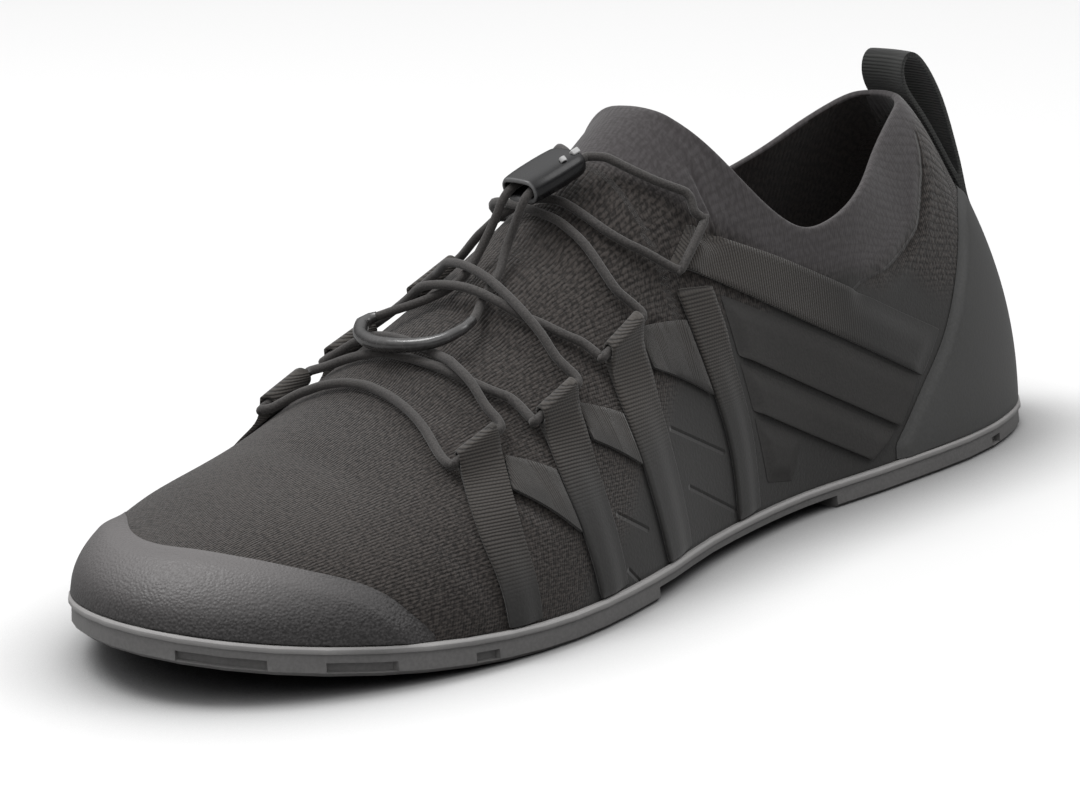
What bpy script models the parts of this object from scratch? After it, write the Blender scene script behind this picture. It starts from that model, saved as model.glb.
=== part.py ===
# Right barefoot shoe with a one-piece knit upper, an elastic lace and a cord lock.
# Metres, +Z up, +X from heel to toe, +Y to the inner (medial) side of a right foot.
# All last shapes are first worked out with x = 0 at the back of the heel and
# z = 0 on the floor, and the whole shoe is then set about the middle of its box.
import bpy
import bmesh
import math
import numpy as np

MM = 0.001

# Driving sizes of the last
LENGTH = 0.285
BALL_WIDTH = 0.1063
HEEL_WIDTH = 0.0688
INSTEP_HEIGHT = 0.0986
HEEL_HEIGHT = 0.0850
HEEL_LEAN = 0.0255
LEAN_START = 0.015
LEAN_POWER = 1.86
LEAN_REACH = 0.33
TOE_SPRING = 0.0102

# Sole
SOLE_RIM = 0.00635
LEDGE = 0.0016
TRAY_DEPTH = 0.0012
GROOVE_DEPTH = 0.0006
BASE_THICKNESS = 0.0033
HEEL_BEVEL = 0.0016
HEEL_BEVEL_REACH = 0.020
LUG_GROOVE_WIDTH = 0.0020
LUG_GROOVE_DEPTH = 0.0017
LUG_GROOVE_BOW = 3 * MM
# Cutters reach this far past the face that they open
CUT_PAST = 3 * MM
WINDOW_DEPTH = 0.0022
LIP_HEIGHT = 0.0009

# Upper and what is sewn or bonded on it
GAP = 0.0003
WRAP_GAP = 0.00045
UPPER_WALL = 0.0020
INSOLE_THICKNESS = 0.0030
INSOLE_EASE = 0.0010
CAP_THICKNESS = 0.0009
COUNTER_THICKNESS = 0.0009
WEBBING = 0.0008
PANEL_EDGE = 0.0008
PANEL_FADE = 0.0003
SEAM_SPACE = 0.0004

# Lace, cord lock and pull loop
CORD = 0.0021
CORD_SPACE = 0.0006
CORD_TOLERANCE = 0.00015
TAIL_START = 0.0064
LOCK_LENGTH = 0.0168
LOCK_WIDTH = 0.0124
LOCK_HEIGHT = 0.0066
LOCK_TILT = math.radians(-16.0)
MOUTH_SPREAD = 0.0032
TAB_THICKNESS = 0.0034
PULL_WIDTH = 0.0130
PULL_WEBBING = 0.0013

# Stations along the last are shares of its length: the heel fan turns about the
# heel centre, the toe fan about the toe centre, and the sides run between them.
HEEL_CENTRE = 0.115
TOE_CENTRE = 0.870
TONGUE = 0.445
SPRING_START = 0.700

# Sole outline seen from above, clockwise from the back of the heel:
# x share of LENGTH, y share of the named width
OUTLINE = (
    (0.000, -0.029, "heel"),
    (0.012, 0.135, "heel"),
    (0.036, 0.270, "heel"),
    (0.120, 0.424, "heel"),
    (0.250, 0.477, "heel"),
    (0.380, 0.316, "ball"),
    (0.500, 0.378, "ball"),
    (0.600, 0.467, "ball"),
    (0.700, 0.520, "ball"),
    (0.800, 0.504, "ball"),
    (0.880, 0.438, "ball"),
    (0.945, 0.337, "ball"),
    (0.985, 0.213, "ball"),
    (1.000, 0.071, "ball"),
    (0.988, -0.099, "ball"),
    (0.950, -0.249, "ball"),
    (0.880, -0.370, "ball"),
    (0.780, -0.447, "ball"),
    (0.660, -0.480, "ball"),
    (0.530, -0.450, "ball"),
    (0.400, -0.391, "ball"),
    (0.260, -0.523, "heel"),
    (0.130, -0.471, "heel"),
    (0.036, -0.314, "heel"),
    (0.012, -0.180, "heel"),
)

# Cross sections of the last. Behind the tongue the top is where the two walls
# would meet if the collar did not cut them first.
# x share of LENGTH, top share of INSTEP_HEIGHT, top's side shift share of
# BALL_WIDTH, power of the width curve, power of the height curve
SECTIONS = (
    (0.115, 0.914, 0.000, 2.20, 1.70),
    (0.200, 0.945, 0.000, 2.20, 1.70),
    (0.300, 1.300, 0.000, 2.20, 1.70),
    (0.380, 1.240, 0.000, 2.10, 1.70),
    (0.445, 1.000, 0.019, 2.00, 1.70),
    (0.520, 0.831, 0.005, 1.90, 1.70),
    (0.600, 0.673, -0.014, 1.90, 1.80),
    (0.700, 0.511, -0.031, 2.00, 2.00),
    (0.800, 0.391, -0.028, 2.05, 2.05),
    (0.870, 0.351, -0.028, 2.10, 2.10),
)

# Collar: station, height of the inner side and of the outer side as shares of
# HEEL_HEIGHT. It ends on top of the tongue.
COLLAR = (
    (0.000, 1.000, 1.000),
    (0.050, 0.999, 0.995),
    (0.120, 0.985, 0.965),
    (0.200, 0.915, 0.888),
    (0.280, 0.815, 0.785),
    (0.335, 0.771, 0.760),
    (0.380, 0.864, 0.853),
    (0.420, 1.037, 1.034),
)

# Edge of the toe cap and front edge of the heel counter: station, level.
# Level 0 is the feather line and level 1 the top of the last.
CAP_EDGE = (
    (0.828, 0.055),
    (0.838, 0.110),
    (0.850, 0.220),
    (0.880, 0.380),
    (0.910, 0.510),
    (0.950, 0.585),
    (1.000, 0.580),
)
COUNTER_EDGE = (
    (0.000, 0.520),
    (0.050, 0.515),
    (0.090, 0.490),
    (0.135, 0.366),
    (0.175, 0.245),
    (0.217, 0.150),
    (0.240, 0.085),
    (0.256, 0.045),
)

# Lace loops: the first three are webbing from the feather line to the loop.
# Each row is a level with the stations of the front and the rear edge.
LOOPS = (
    (
        (0.600, 0.7430, 0.7060),
        (0.520, 0.7520, 0.7120),
        (0.430, 0.7620, 0.7240),
        (0.300, 0.7690, 0.7330),
        (0.000, 0.7690, 0.7360),
    ),
    (
        (0.555, 0.6690, 0.6310),
        (0.460, 0.6750, 0.6340),
        (0.350, 0.6810, 0.6400),
        (0.220, 0.6820, 0.6420),
        (0.000, 0.6750, 0.6370),
    ),
    (
        (0.555, 0.5860, 0.5480),
        (0.450, 0.5930, 0.5480),
        (0.300, 0.5935, 0.5480),
        (0.150, 0.5900, 0.5440),
        (0.000, 0.5800, 0.5380),
    ),
)
# The upright strap under the fourth loop
UPRIGHT = (
    (0.505, 0.4950, 0.4620),
    (0.400, 0.4900, 0.4560),
    (0.285, 0.4820, 0.4460),
    (0.160, 0.4700, 0.4350),
    (0.000, 0.4680, 0.4320),
)
# The fourth loop's strap runs back to the heel counter.
# Each row is a share of its run, with station and height of the upper and the
# lower edge. Heights above the feather line are shares of HEEL_HEIGHT.
BACK_STRAP = (
    (0.00, 0.4650, 0.790, 0.4930, 0.708),
    (0.15, 0.4330, 0.740, 0.4570, 0.650),
    (0.35, 0.3850, 0.672, 0.4040, 0.556),
    (0.62, 0.2980, 0.528, 0.3200, 0.410),
    (1.00, 0.1815, 0.337, 0.2140, 0.2245),
)
# Panels that fan out between the straps: level where each leaves the strap in
# front of it and level where it meets the next one, upper and lower edge.
FANS = (
    (0.520, 0.425, 0.400, 0.215),
    (0.500, 0.400, 0.400, 0.275),
    (0.520, 0.425, 0.440, 0.280),
)
# Panels behind the upright strap: station and height of the upper edge's two
# ends, then of the lower edge's two ends. Heights are shares of HEEL_HEIGHT.
REAR_PANELS = (
    ((0.449, 0.606, 0.220, 0.226), (0.441, 0.438, 0.252, 0.108)),
    ((0.440, 0.418, 0.256, 0.096), (0.432, 0.283, 0.290, 0.039)),
    ((0.431, 0.264, 0.372, 0.162), (0.421, 0.078, 0.388, 0.055)),
)
OUTER_LOOP_RAISE = 0.06
OUTER_RAISE_REACH = 0.6

# Strands of the lace between the loops, on the inner (medial, +) and the outer
# side (-). Station, side share u (0 on top of the instep, 1 at the feather line)
# and layer: 0 lies on the upper and 1 passes over another strand.
FRONT_BAR = (
    (0.7500, -0.335, 0.0),
    (0.7410, -0.260, 0.0),
    (0.7340, -0.165, 0.0),
    (0.7290, -0.050, 0.0),
    (0.7285, 0.070, 0.0),
    (0.7340, 0.195, 0.0),
    (0.7410, 0.290, 0.0),
    (0.7500, 0.365, 0.0),
)
FIRST_INNER_TO_OUTER = (
    (0.6990, 0.360, 0.5),
    (0.6935, 0.290, 1.0),
    (0.6880, 0.210, 1.0),
    (0.6830, 0.120, 0.1),
    (0.6800, 0.020, 0.0),
    (0.6760, -0.090, 0.0),
    (0.6720, -0.200, 0.0),
    (0.6690, -0.295, 0.0),
)
FIRST_OUTER_TO_INNER = (
    (0.7030, -0.280, 0.0),
    (0.6990, -0.180, 0.0),
    (0.6950, -0.070, 0.0),
    (0.6930, 0.050, 0.0),
    (0.6915, 0.150, 0.0),
    (0.6890, 0.240, 0.0),
    (0.6840, 0.320, 0.0),
    (0.6760, 0.390, 0.0),
)
SECOND_INNER_TO_OUTER = (
    (0.6270, 0.390, 0.2),
    (0.6250, 0.320, 0.8),
    (0.6230, 0.250, 1.1),
    (0.6190, 0.180, 1.1),
    (0.6140, 0.080, 1.1),
    (0.6090, -0.040, 1.1),
    (0.6020, -0.150, 0.8),
    (0.5940, -0.240, 0.1),
    (0.5880, -0.310, 0.0),
)
SECOND_OUTER_TO_INNER = (
    (0.6280, -0.335, 0.0),
    (0.6300, -0.230, 0.2),
    (0.6310, -0.110, 1.1),
    (0.6290, 0.000, 1.1),
    (0.6275, 0.100, 1.1),
    (0.6260, 0.160, 0.7),
    (0.6230, 0.230, 0.0),
    (0.6160, 0.290, 0.0),
    (0.6090, 0.350, 0.0),
    (0.5990, 0.410, 0.0),
)
THIRD_INNER_TO_OUTER = (
    (0.5500, 0.390, 0.0),
    (0.5500, 0.310, 0.0),
    (0.5480, 0.220, 0.0),
    (0.5475, 0.110, 0.0),
    (0.5475, 0.000, 0.0),
    (0.5460, -0.090, 0.6),
    (0.5400, -0.175, 1.1),
    (0.5300, -0.255, 1.1),
    (0.5190, -0.315, 0.4),
    (0.5080, -0.362, 0.0),
)
THIRD_OUTER_TO_INNER = (
    (0.5460, -0.300, 0.0),
    (0.5430, -0.230, 0.0),
    (0.5390, -0.150, 0.0),
    (0.5360, -0.050, 0.0),
    (0.5345, 0.050, 0.0),
    (0.5340, 0.140, 0.0),
    (0.5310, 0.240, 0.0),
    (0.5240, 0.310, 0.0),
    (0.5130, 0.370, 0.0),
    (0.5050, 0.410, 0.0),
)
# From the rear of a fourth loop up to the lock: the same columns, u as an amount
LOCK_LEG = (
    (0.4575, 0.405, 0.3),
    (0.4575, 0.365, 0.3),
    (0.4660, 0.325, 0.1),
    (0.4780, 0.265, 0.1),
    (0.4880, 0.190, 0.4),
    (0.4960, 0.100, 1.0),
)
OUTER_LEG_RAISE = 0.06
# Both loose ends after the lock's mouth, and the sleeve that joins their tips
OUTER_END = (
    (0.5980, -0.040, 0.5),
    (0.6080, -0.035, 0.0),
    (0.6230, -0.040, 0.0),
    (0.6340, -0.075, 0.0),
    (0.6430, -0.125, 0.1),
    (0.6540, -0.175, 0.7),
    (0.6635, -0.210, 1.2),
)
INNER_END = (
    (0.5880, 0.050, 0.6),
    (0.6000, 0.075, 0.0),
    (0.6140, 0.090, 0.0),
    (0.6290, 0.100, 0.0),
    (0.6400, 0.130, 0.1),
    (0.6510, 0.155, 0.8),
    (0.6590, 0.160, 1.2),
)
SLEEVE = (
    (0.6680, -0.225, 1.3),
    (0.6810, -0.185, 1.3),
    (0.6930, -0.110, 1.3),
    (0.6985, -0.030, 1.3),
    (0.6960, 0.040, 1.3),
    (0.6880, 0.100, 1.3),
    (0.6770, 0.140, 1.3),
    (0.6640, 0.158, 1.3),
)
CORD_REST = 0.0007
CORD_CROSS = 0.0004
LOOP_LEAD = 0.18

# Middle of the cord lock, share of LENGTH and of INSTEP_HEIGHT, and its section:
# each row a corner's shares of half the width and of the height, then the same
# for the passage inside
LOCK_PLACE = (0.548, 0.008, 0.872)
LOCK_SECTION = (
    (1.00, 0.34, 0.74, 0.36),
    (1.00, 0.66, 0.74, 0.62),
    (0.74, 0.97, 0.62, 0.70),
    (-0.74, 0.97, -0.62, 0.70),
    (-1.00, 0.66, -0.74, 0.62),
    (-1.00, 0.34, -0.74, 0.36),
    (-0.72, 0.00, -0.62, 0.28),
    (0.72, 0.00, 0.62, 0.28),
)
# Stations of the lock from its rear to its mouth: share of the length, width and height
LOCK_STATIONS = (
    (-0.50, 0.80, 0.80),
    (-0.44, 0.95, 0.94),
    (-0.15, 1.00, 1.00),
    (0.25, 0.98, 0.98),
    (0.46, 0.90, 0.94),
    (0.50, 0.84, 0.90),
)
LOCK_GRIP = 0.10

# Free part of the pull loop on the shoe's middle line, after its front leg has
# left the heel: x share of LENGTH, z share of HEEL_HEIGHT
PULL_FOLD = (
    (0.1370, 1.075),
    (0.1330, 1.118),
    (0.1230, 1.130),
    (0.1100, 1.100),
    (0.0950, 1.035),
    (0.0810, 0.950),
    (0.0690, 0.850),
    (0.0600, 0.770),
)
PULL_FRONT = (0.735, 0.800, 0.870, 0.940, 1.000)
PULL_TAIL = (0.670, 0.620, 0.575)
PULL_BOW = 0.0010

# Parts of the sole's side: stations of the pockets in the lug wall
WINDOWS = ((0.859, 0.889), (0.910, 0.946), (0.780, 0.800), (0.106, 0.119))
ARCH_STATIONS = (0.335, 0.600)
ARCH_REACH = 0.030
FOREFOOT_GROOVES = (0.640, 0.690, 0.740, 0.790, 0.840, 0.885, 0.925)
HEEL_GROOVES = (0.070, 0.120, 0.170, 0.220, 0.270)

# Grid of the upper
HEEL_STEPS = 6
REAR_STEPS = 11
FRONT_STEPS = 13
TOE_STEPS = 7
LEVEL_STEPS = 8

INNER_SIDE = 1
OUTER_SIDE = -1


def smooth(xs, ys, x):
    """Monotone cubic through the rows of a table."""
    xs = np.asarray(xs, float)
    ys = np.asarray(ys, float)
    x = np.clip(np.asarray(x, float), xs[0], xs[-1])
    width = np.diff(xs)
    rise = np.diff(ys) / width
    slope = np.zeros(len(xs))
    slope[0] = rise[0]
    slope[-1] = rise[-1]
    for i in range(1, len(xs) - 1):
        if rise[i - 1] * rise[i] > 0:
            a = 2 * width[i] + width[i - 1]
            b = width[i] + 2 * width[i - 1]
            slope[i] = (a + b) / (a / rise[i - 1] + b / rise[i])
    i = np.clip(np.searchsorted(xs, x) - 1, 0, len(width) - 1)
    t = (x - xs[i]) / width[i]
    value = (1 + 2 * t) * (1 - t) ** 2 * ys[i]
    value += t * (1 - t) ** 2 * width[i] * slope[i]
    value += t * t * (3 - 2 * t) * ys[i + 1]
    value += t * t * (t - 1) * width[i] * slope[i + 1]
    return value


def curve_through(points, steps, closed):
    """Centripetal spline through points in any number of dimensions."""
    p = [np.asarray(q, float) for q in points]
    if not closed:
        p = [2 * p[0] - p[1]] + p + [2 * p[-1] - p[-2]]
    count = len(p) if closed else len(p) - 3
    result = []
    for i in range(count):
        k = i if closed else i + 1
        a, b, c, d = p[k - 1], p[k], p[(k + 1) % len(p)], p[(k + 2) % len(p)]
        ka = np.linalg.norm(b - a) ** 0.5
        kb = np.linalg.norm(c - b) ** 0.5
        kc = np.linalg.norm(d - c) ** 0.5
        start = kb * ((b - a) / ka - (c - a) / (ka + kb) + (c - b) / kb)
        end = kb * ((c - b) / kb - (d - b) / (kb + kc) + (d - c) / kc)
        for t in np.arange(steps) / steps:
            h = (2 * t ** 3 - 3 * t * t + 1) * b + (t ** 3 - 2 * t * t + t) * start
            result.append(h + (3 * t * t - 2 * t ** 3) * c + (t ** 3 - t * t) * end)
    if not closed:
        result.append(p[-2])
    return np.array(result)


def even_points(points, spacing):
    """Points at an even spacing along a dense polyline."""
    step = np.linalg.norm(np.diff(points, axis=0), axis=1)
    run = np.concatenate([[0], np.cumsum(step)])
    count = max(2, int(round(run[-1] / spacing)))
    at = np.linspace(0, run[-1], count + 1)
    return np.stack([np.interp(at, run, points[:, k]) for k in range(3)], -1)


def inset(curve, distance):
    """Closed plan curve moved inwards; the outline runs clockwise from above."""
    along = np.roll(curve, -1, 0) - np.roll(curve, 1, 0)
    inwards = np.stack([along[:, 1], -along[:, 0]], -1)
    inwards /= np.linalg.norm(inwards, axis=1)[:, None]
    return curve + inwards * distance


WIDTHS = {"heel": HEEL_WIDTH, "ball": BALL_WIDTH}
RIM = curve_through([(x * LENGTH, y * WIDTHS[k]) for x, y, k in OUTLINE], 16, True)


def section(station, column):
    k = ("x", "top", "shift", "width_power", "height_power").index(column)
    return smooth([row[0] for row in SECTIONS], [row[k] for row in SECTIONS], station)


def centre(w):
    """Point of the last's middle line that station w is measured from."""
    station = np.clip(w, HEEL_CENTRE, TOE_CENTRE)
    return station * LENGTH, section(station, "shift") * BALL_WIDTH


def heading(w, side):
    """Direction from the middle line to the outline at station w."""
    angle = np.where(w < HEEL_CENTRE, 180 - 90 * w / HEEL_CENTRE, 90.0)
    angle = np.where(w > TOE_CENTRE, 90 * (1 - w) / (1 - TOE_CENTRE), angle)
    return np.cos(np.radians(angle)), side * np.sin(np.radians(angle))


def edge_points(curve, stations, side):
    """Where the stations' directions meet a closed plan curve."""
    stations = np.asarray(stations, float)
    cx, cy = centre(stations)
    dx, dy = heading(stations, side)
    edge = np.roll(curve, -1, 0) - curve
    result = np.zeros((len(stations), 2))
    for i in range(len(stations)):
        rx = curve[:, 0] - cx[i]
        ry = curve[:, 1] - cy[i]
        across = dx[i] * edge[:, 1] - dy[i] * edge[:, 0]
        across = np.where(np.abs(across) < 1e-15, 1e-15, across)
        reach = (rx * edge[:, 1] - ry * edge[:, 0]) / across
        share = (rx * dy[i] - ry * dx[i]) / across
        meets = (reach > 0) & (share >= -1e-9) & (share <= 1 + 1e-9)
        best = reach[meets].max()
        result[i] = (cx[i] + best * dx[i], cy[i] + best * dy[i])
    return result


def spring(x):
    """Rise of the sole towards the toe."""
    u = (x / LENGTH - SPRING_START) / (1 - SPRING_START)
    return TOE_SPRING * np.clip(u, 0, 1.2) ** 2


FEATHER = inset(RIM, LEDGE)
TABLE_STATIONS = np.linspace(0, 1, 401)
FEATHER_AT = {
    INNER_SIDE: edge_points(FEATHER, TABLE_STATIONS, INNER_SIDE),
    OUTER_SIDE: edge_points(FEATHER, TABLE_STATIONS, OUTER_SIDE),
}
FEATHER_RISE = SOLE_RIM - TRAY_DEPTH + GAP
SLOPE_STEP = 0.002
TOE_SLOPE = (section(TOE_CENTRE, "top") - section(TOE_CENTRE - SLOPE_STEP, "top"))
TOE_SLOPE = float(TOE_SLOPE) * INSTEP_HEIGHT / (SLOPE_STEP * LENGTH)


def collar_height(w, side):
    k = 1 if side == INNER_SIDE else 2
    stations = [row[0] for row in COLLAR] + [TONGUE]
    heights = [row[k] * HEEL_HEIGHT for row in COLLAR]
    heights.append(float(section(TONGUE, "top")) * INSTEP_HEIGHT)
    return smooth(stations, heights, np.clip(w, 0, TONGUE))


def column(w, side):
    """Values of the section at station w: centre, feather point, heights, powers."""
    station = np.clip(w, HEEL_CENTRE, TOE_CENTRE)
    cx, cy = centre(w)
    foot = FEATHER_AT[side]
    fx = np.interp(w, TABLE_STATIONS, foot[:, 0])
    fy = np.interp(w, TABLE_STATIONS, foot[:, 1])
    low = FEATHER_RISE + spring(fx)
    top = section(station, "top") * INSTEP_HEIGHT
    return cx, cy, fx, fy, low, top, section(station, "width_power"), section(station, "height_power")


def top_level(w, side):
    """Level at which the collar cuts the walls, 1 in front of the tongue's top."""
    w = np.asarray(w, float)
    _, _, _, _, low, top, _, power = column(w, side)
    share = np.clip((collar_height(w, side) - low) / (top - low), 0, 1)
    level = np.arcsin(share ** (power / 2)) / (math.pi / 2)
    return np.where(w < TONGUE - 1e-9, level, 1.0)


def level_at_height(w, side, height):
    """Level of the wall at a height above the feather line."""
    w = np.asarray(w, float)
    _, _, _, _, low, top, _, power = column(w, side)
    share = np.clip(height / (top - low), 0, 1)
    return np.arcsin(share ** (power / 2)) / (math.pi / 2)


def last_point(w, level, side):
    """Point of the upper's outer face."""
    w, level = np.broadcast_arrays(np.asarray(w, float), np.asarray(level, float))
    cx, cy, fx, fy, low, top, n, m = column(w, side)
    angle = level * math.pi / 2
    reach = np.clip(np.cos(angle), 0, 1) ** (2 / n)
    rise = np.sin(angle) ** (2 / m)
    x = cx + (fx - cx) * reach
    y = cy + (fy - cy) * reach
    z = low + (top - low) * rise
    z = z + TOE_SLOPE * np.clip(x - TOE_CENTRE * LENGTH, 0, None) * (1 - reach ** 2)
    lift = np.clip((z - LEAN_START) / (HEEL_HEIGHT - LEAN_START), 0, None) ** LEAN_POWER
    x = x + HEEL_LEAN * lift * np.clip(1 - x / (LEAN_REACH * LENGTH), 0, 1) ** 1.5
    return np.stack([x, y, z], -1)


def last_normal(w, level, side):
    """Outward direction of the upper's outer face."""
    w, level = np.broadcast_arrays(np.asarray(w, float), np.asarray(level, float))
    dw = 0.004
    dl = 0.012
    along = last_point(np.clip(w + dw, 0, 1), level, side)
    along = along - last_point(np.clip(w - dw, 0, 1), level, side)
    up = last_point(w, np.clip(level + dl, 0, 1), side)
    up = up - last_point(w, np.clip(level - dl, 0, 1), side)
    normal = np.cross(up, along) * side
    return normal / np.linalg.norm(normal, axis=-1)[..., None]


def raised(w, level, side, height):
    """Point at a height above the upper's outer face."""
    height = np.asarray(height, float)
    return last_point(w, level, side) + last_normal(w, level, side) * height[..., None]


def over_ridge(w, u, height):
    """Point above the instep: u runs from -1 outside over 0 on top to +1 inside."""
    side = INNER_SIDE if u >= 0 else OUTER_SIDE
    return raised(w, min(1 - abs(u), 0.985), side, height)


# The shoe is set about the middle of the sole outline's box.
SHOE_X = -(RIM[:, 0].max() + RIM[:, 0].min()) / 2
SHOE_Y = -(RIM[:, 1].max() + RIM[:, 1].min()) / 2


def clear_scene():
    for item in list(bpy.data.objects):
        bpy.data.objects.remove(item, do_unlink=True)


def make_material(name, color, roughness):
    material = bpy.data.materials.new(name)
    material.use_nodes = True
    shader = material.node_tree.nodes["Principled BSDF"]
    shader.inputs["Base Color"].default_value = (*color, 1.0)
    shader.inputs["Roughness"].default_value = roughness
    shader.inputs["Metallic"].default_value = 0.0
    return material


def place(item, parent):
    item.parent = parent


def make_object(name, points, faces, material, parent, round_angle=40.0):
    """Mesh object from points and faces, doubles merged, faces pointing out."""
    mesh = bpy.data.meshes.new(name)
    mesh.from_pydata([tuple(map(float, p)) for p in points], [], faces)
    work = bmesh.new()
    work.from_mesh(mesh)
    bmesh.ops.remove_doubles(work, verts=work.verts, dist=0.00002)
    bmesh.ops.dissolve_degenerate(work, edges=work.edges, dist=0.00001)
    bmesh.ops.recalc_face_normals(work, faces=work.faces)
    work.to_mesh(mesh)
    work.free()
    mesh.shade_smooth()
    mesh.set_sharp_from_angle(angle=math.radians(round_angle))
    mesh.materials.append(material)
    item = bpy.data.objects.new(name, mesh)
    bpy.context.scene.collection.objects.link(item)
    place(item, parent)
    return item


def shell(outer, inner):
    """Closed solid between two point grids of the same size."""
    rows, columns = outer.shape[:2]
    points = list(outer.reshape(-1, 3)) + list(inner.reshape(-1, 3))
    shift = rows * columns
    faces = []

    def at(i, j):
        return i * columns + j

    for i in range(rows - 1):
        for j in range(columns - 1):
            quad = (at(i, j), at(i + 1, j), at(i + 1, j + 1), at(i, j + 1))
            faces.append(quad)
            faces.append(tuple(k + shift for k in reversed(quad)))
    border = [at(i, 0) for i in range(rows)]
    border += [at(rows - 1, j) for j in range(1, columns)]
    border += [at(i, columns - 1) for i in range(rows - 2, -1, -1)]
    border += [at(0, j) for j in range(columns - 2, 0, -1)]
    for a, b in zip(border, border[1:] + border[:1]):
        faces.append((a, b, b + shift, a + shift))
    return points, faces


def profile_sweep(quads, stacks):
    """Closed solid from a flat quad mesh repeated at each stack of points."""
    count = len(stacks[0])
    points = [p for stack in stacks for p in stack]
    sides = {}
    for quad in quads:
        for a, b in zip(quad, quad[1:] + quad[:1]):
            if (b, a) in sides:
                del sides[(b, a)]
            else:
                sides[(a, b)] = True
    faces = [tuple(reversed(quad)) for quad in quads]
    last = (len(stacks) - 1) * count
    faces += [tuple(k + last for k in quad) for quad in quads]
    for s in range(len(stacks) - 1):
        low = s * count
        high = low + count
        for a, b in sides:
            faces.append((a + low, b + low, b + high, a + high))
    return points, faces


# Stations of the grid, heel to toe, closer together near the tongue's top
def grid_stations():
    heel = np.linspace(0, HEEL_CENTRE, HEEL_STEPS + 1)[:-1]
    rear = 1 - (1 - np.linspace(0, 1, REAR_STEPS + 1)) ** 1.5
    rear = HEEL_CENTRE + (TONGUE - HEEL_CENTRE) * rear[:-1]
    front = TONGUE + (TOE_CENTRE - TONGUE) * np.linspace(0, 1, FRONT_STEPS + 1)[:-1]
    toe = np.linspace(TOE_CENTRE, 1, TOE_STEPS + 1)
    return np.concatenate([heel, rear, front, toe])


STATIONS = grid_stations()


def ring_order():
    """Stations and sides once around the shoe."""
    inner = [(i, INNER_SIDE) for i in range(len(STATIONS))]
    outer = [(i, OUTER_SIDE) for i in range(len(STATIONS) - 2, 0, -1)]
    return inner + outer


def make_upper(material, parent):
    """One hollow knit sock: open at the collar and underneath."""
    ring = ring_order()
    shares = np.linspace(0, 1, LEVEL_STEPS + 1)
    outer = np.zeros((len(ring), len(shares), 3))
    for c, (i, side) in enumerate(ring):
        w = np.full(len(shares), STATIONS[i])
        outer[c] = last_point(w, shares * top_level(w, side), side)
    mesh_points = outer.reshape(-1, 3)
    rows = len(shares)
    faces = []
    for c in range(len(ring)):
        d = (c + 1) % len(ring)
        for j in range(rows - 1):
            faces.append((c * rows + j, c * rows + j + 1, d * rows + j + 1, d * rows + j))
    work = bmesh.new()
    verts = [work.verts.new(p) for p in mesh_points]
    for face in faces:
        work.faces.new([verts[k] for k in face])
    for k, v in enumerate(verts):
        v.index = k
    foot = {k for k in range(len(verts)) if k % rows == 0}
    foot_points = {tuple(np.round(mesh_points[k], 6)) for k in foot}
    bmesh.ops.remove_doubles(work, verts=work.verts, dist=0.00002)
    bmesh.ops.dissolve_degenerate(work, edges=work.edges, dist=0.00001)
    bmesh.ops.recalc_face_normals(work, faces=work.faces)
    work.normal_update()
    highest = max(work.verts, key=lambda v: v.co.z)
    if highest.normal.z < 0:
        bmesh.ops.reverse_faces(work, faces=work.faces)
        work.normal_update()
    work.verts.index_update()
    points = [np.array(v.co) for v in work.verts]
    count = len(points)
    for v in work.verts:
        normal = np.array(v.normal)
        is_foot = tuple(np.round(np.array(v.co), 6)) in foot_points
        if is_foot:
            normal[2] = 0
            normal /= np.linalg.norm(normal)
        points.append(np.array(v.co) - normal * UPPER_WALL)
    wall = []
    for face in work.faces:
        loop = [v.index for v in face.verts]
        wall.append(tuple(loop))
        wall.append(tuple(k + count for k in reversed(loop)))
    for edge in work.edges:
        if edge.is_boundary:
            face = edge.link_faces[0]
            a, b = edge.verts
            loop = [v.index for v in face.verts]
            k = loop.index(a.index)
            if loop[(k + 1) % len(loop)] != b.index:
                a, b = b, a
            wall.append((b.index, a.index, a.index + count, b.index + count))
    work.free()
    return make_object("upper", points, wall, material, parent, 50.0)


def sole_rows():
    """Profile of the sole once round: share of the reach or inset, level, height."""
    tray = SOLE_RIM - TRAY_DEPTH
    wall = LEDGE - GAP
    return (
        ("share", 0.0, tray),
        ("share", 0.5, tray),
        ("inset", wall, tray),
        ("inset", wall, SOLE_RIM),
        ("inset", 0.25 * LEDGE, SOLE_RIM),
        ("inset", 0.0, SOLE_RIM - 0.3 * LEDGE),
        ("inset", 0.0, SOLE_RIM - 0.9 * LEDGE),
        ("inset", GROOVE_DEPTH, SOLE_RIM - 1.1 * LEDGE),
        ("inset", 0.6 * GROOVE_DEPTH, LIP_HEIGHT),
        ("inset", 2.2 * GROOVE_DEPTH, 0.0),
        ("share", 0.6, 0.0),
        ("share", 0.0, 0.0),
    )


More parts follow.
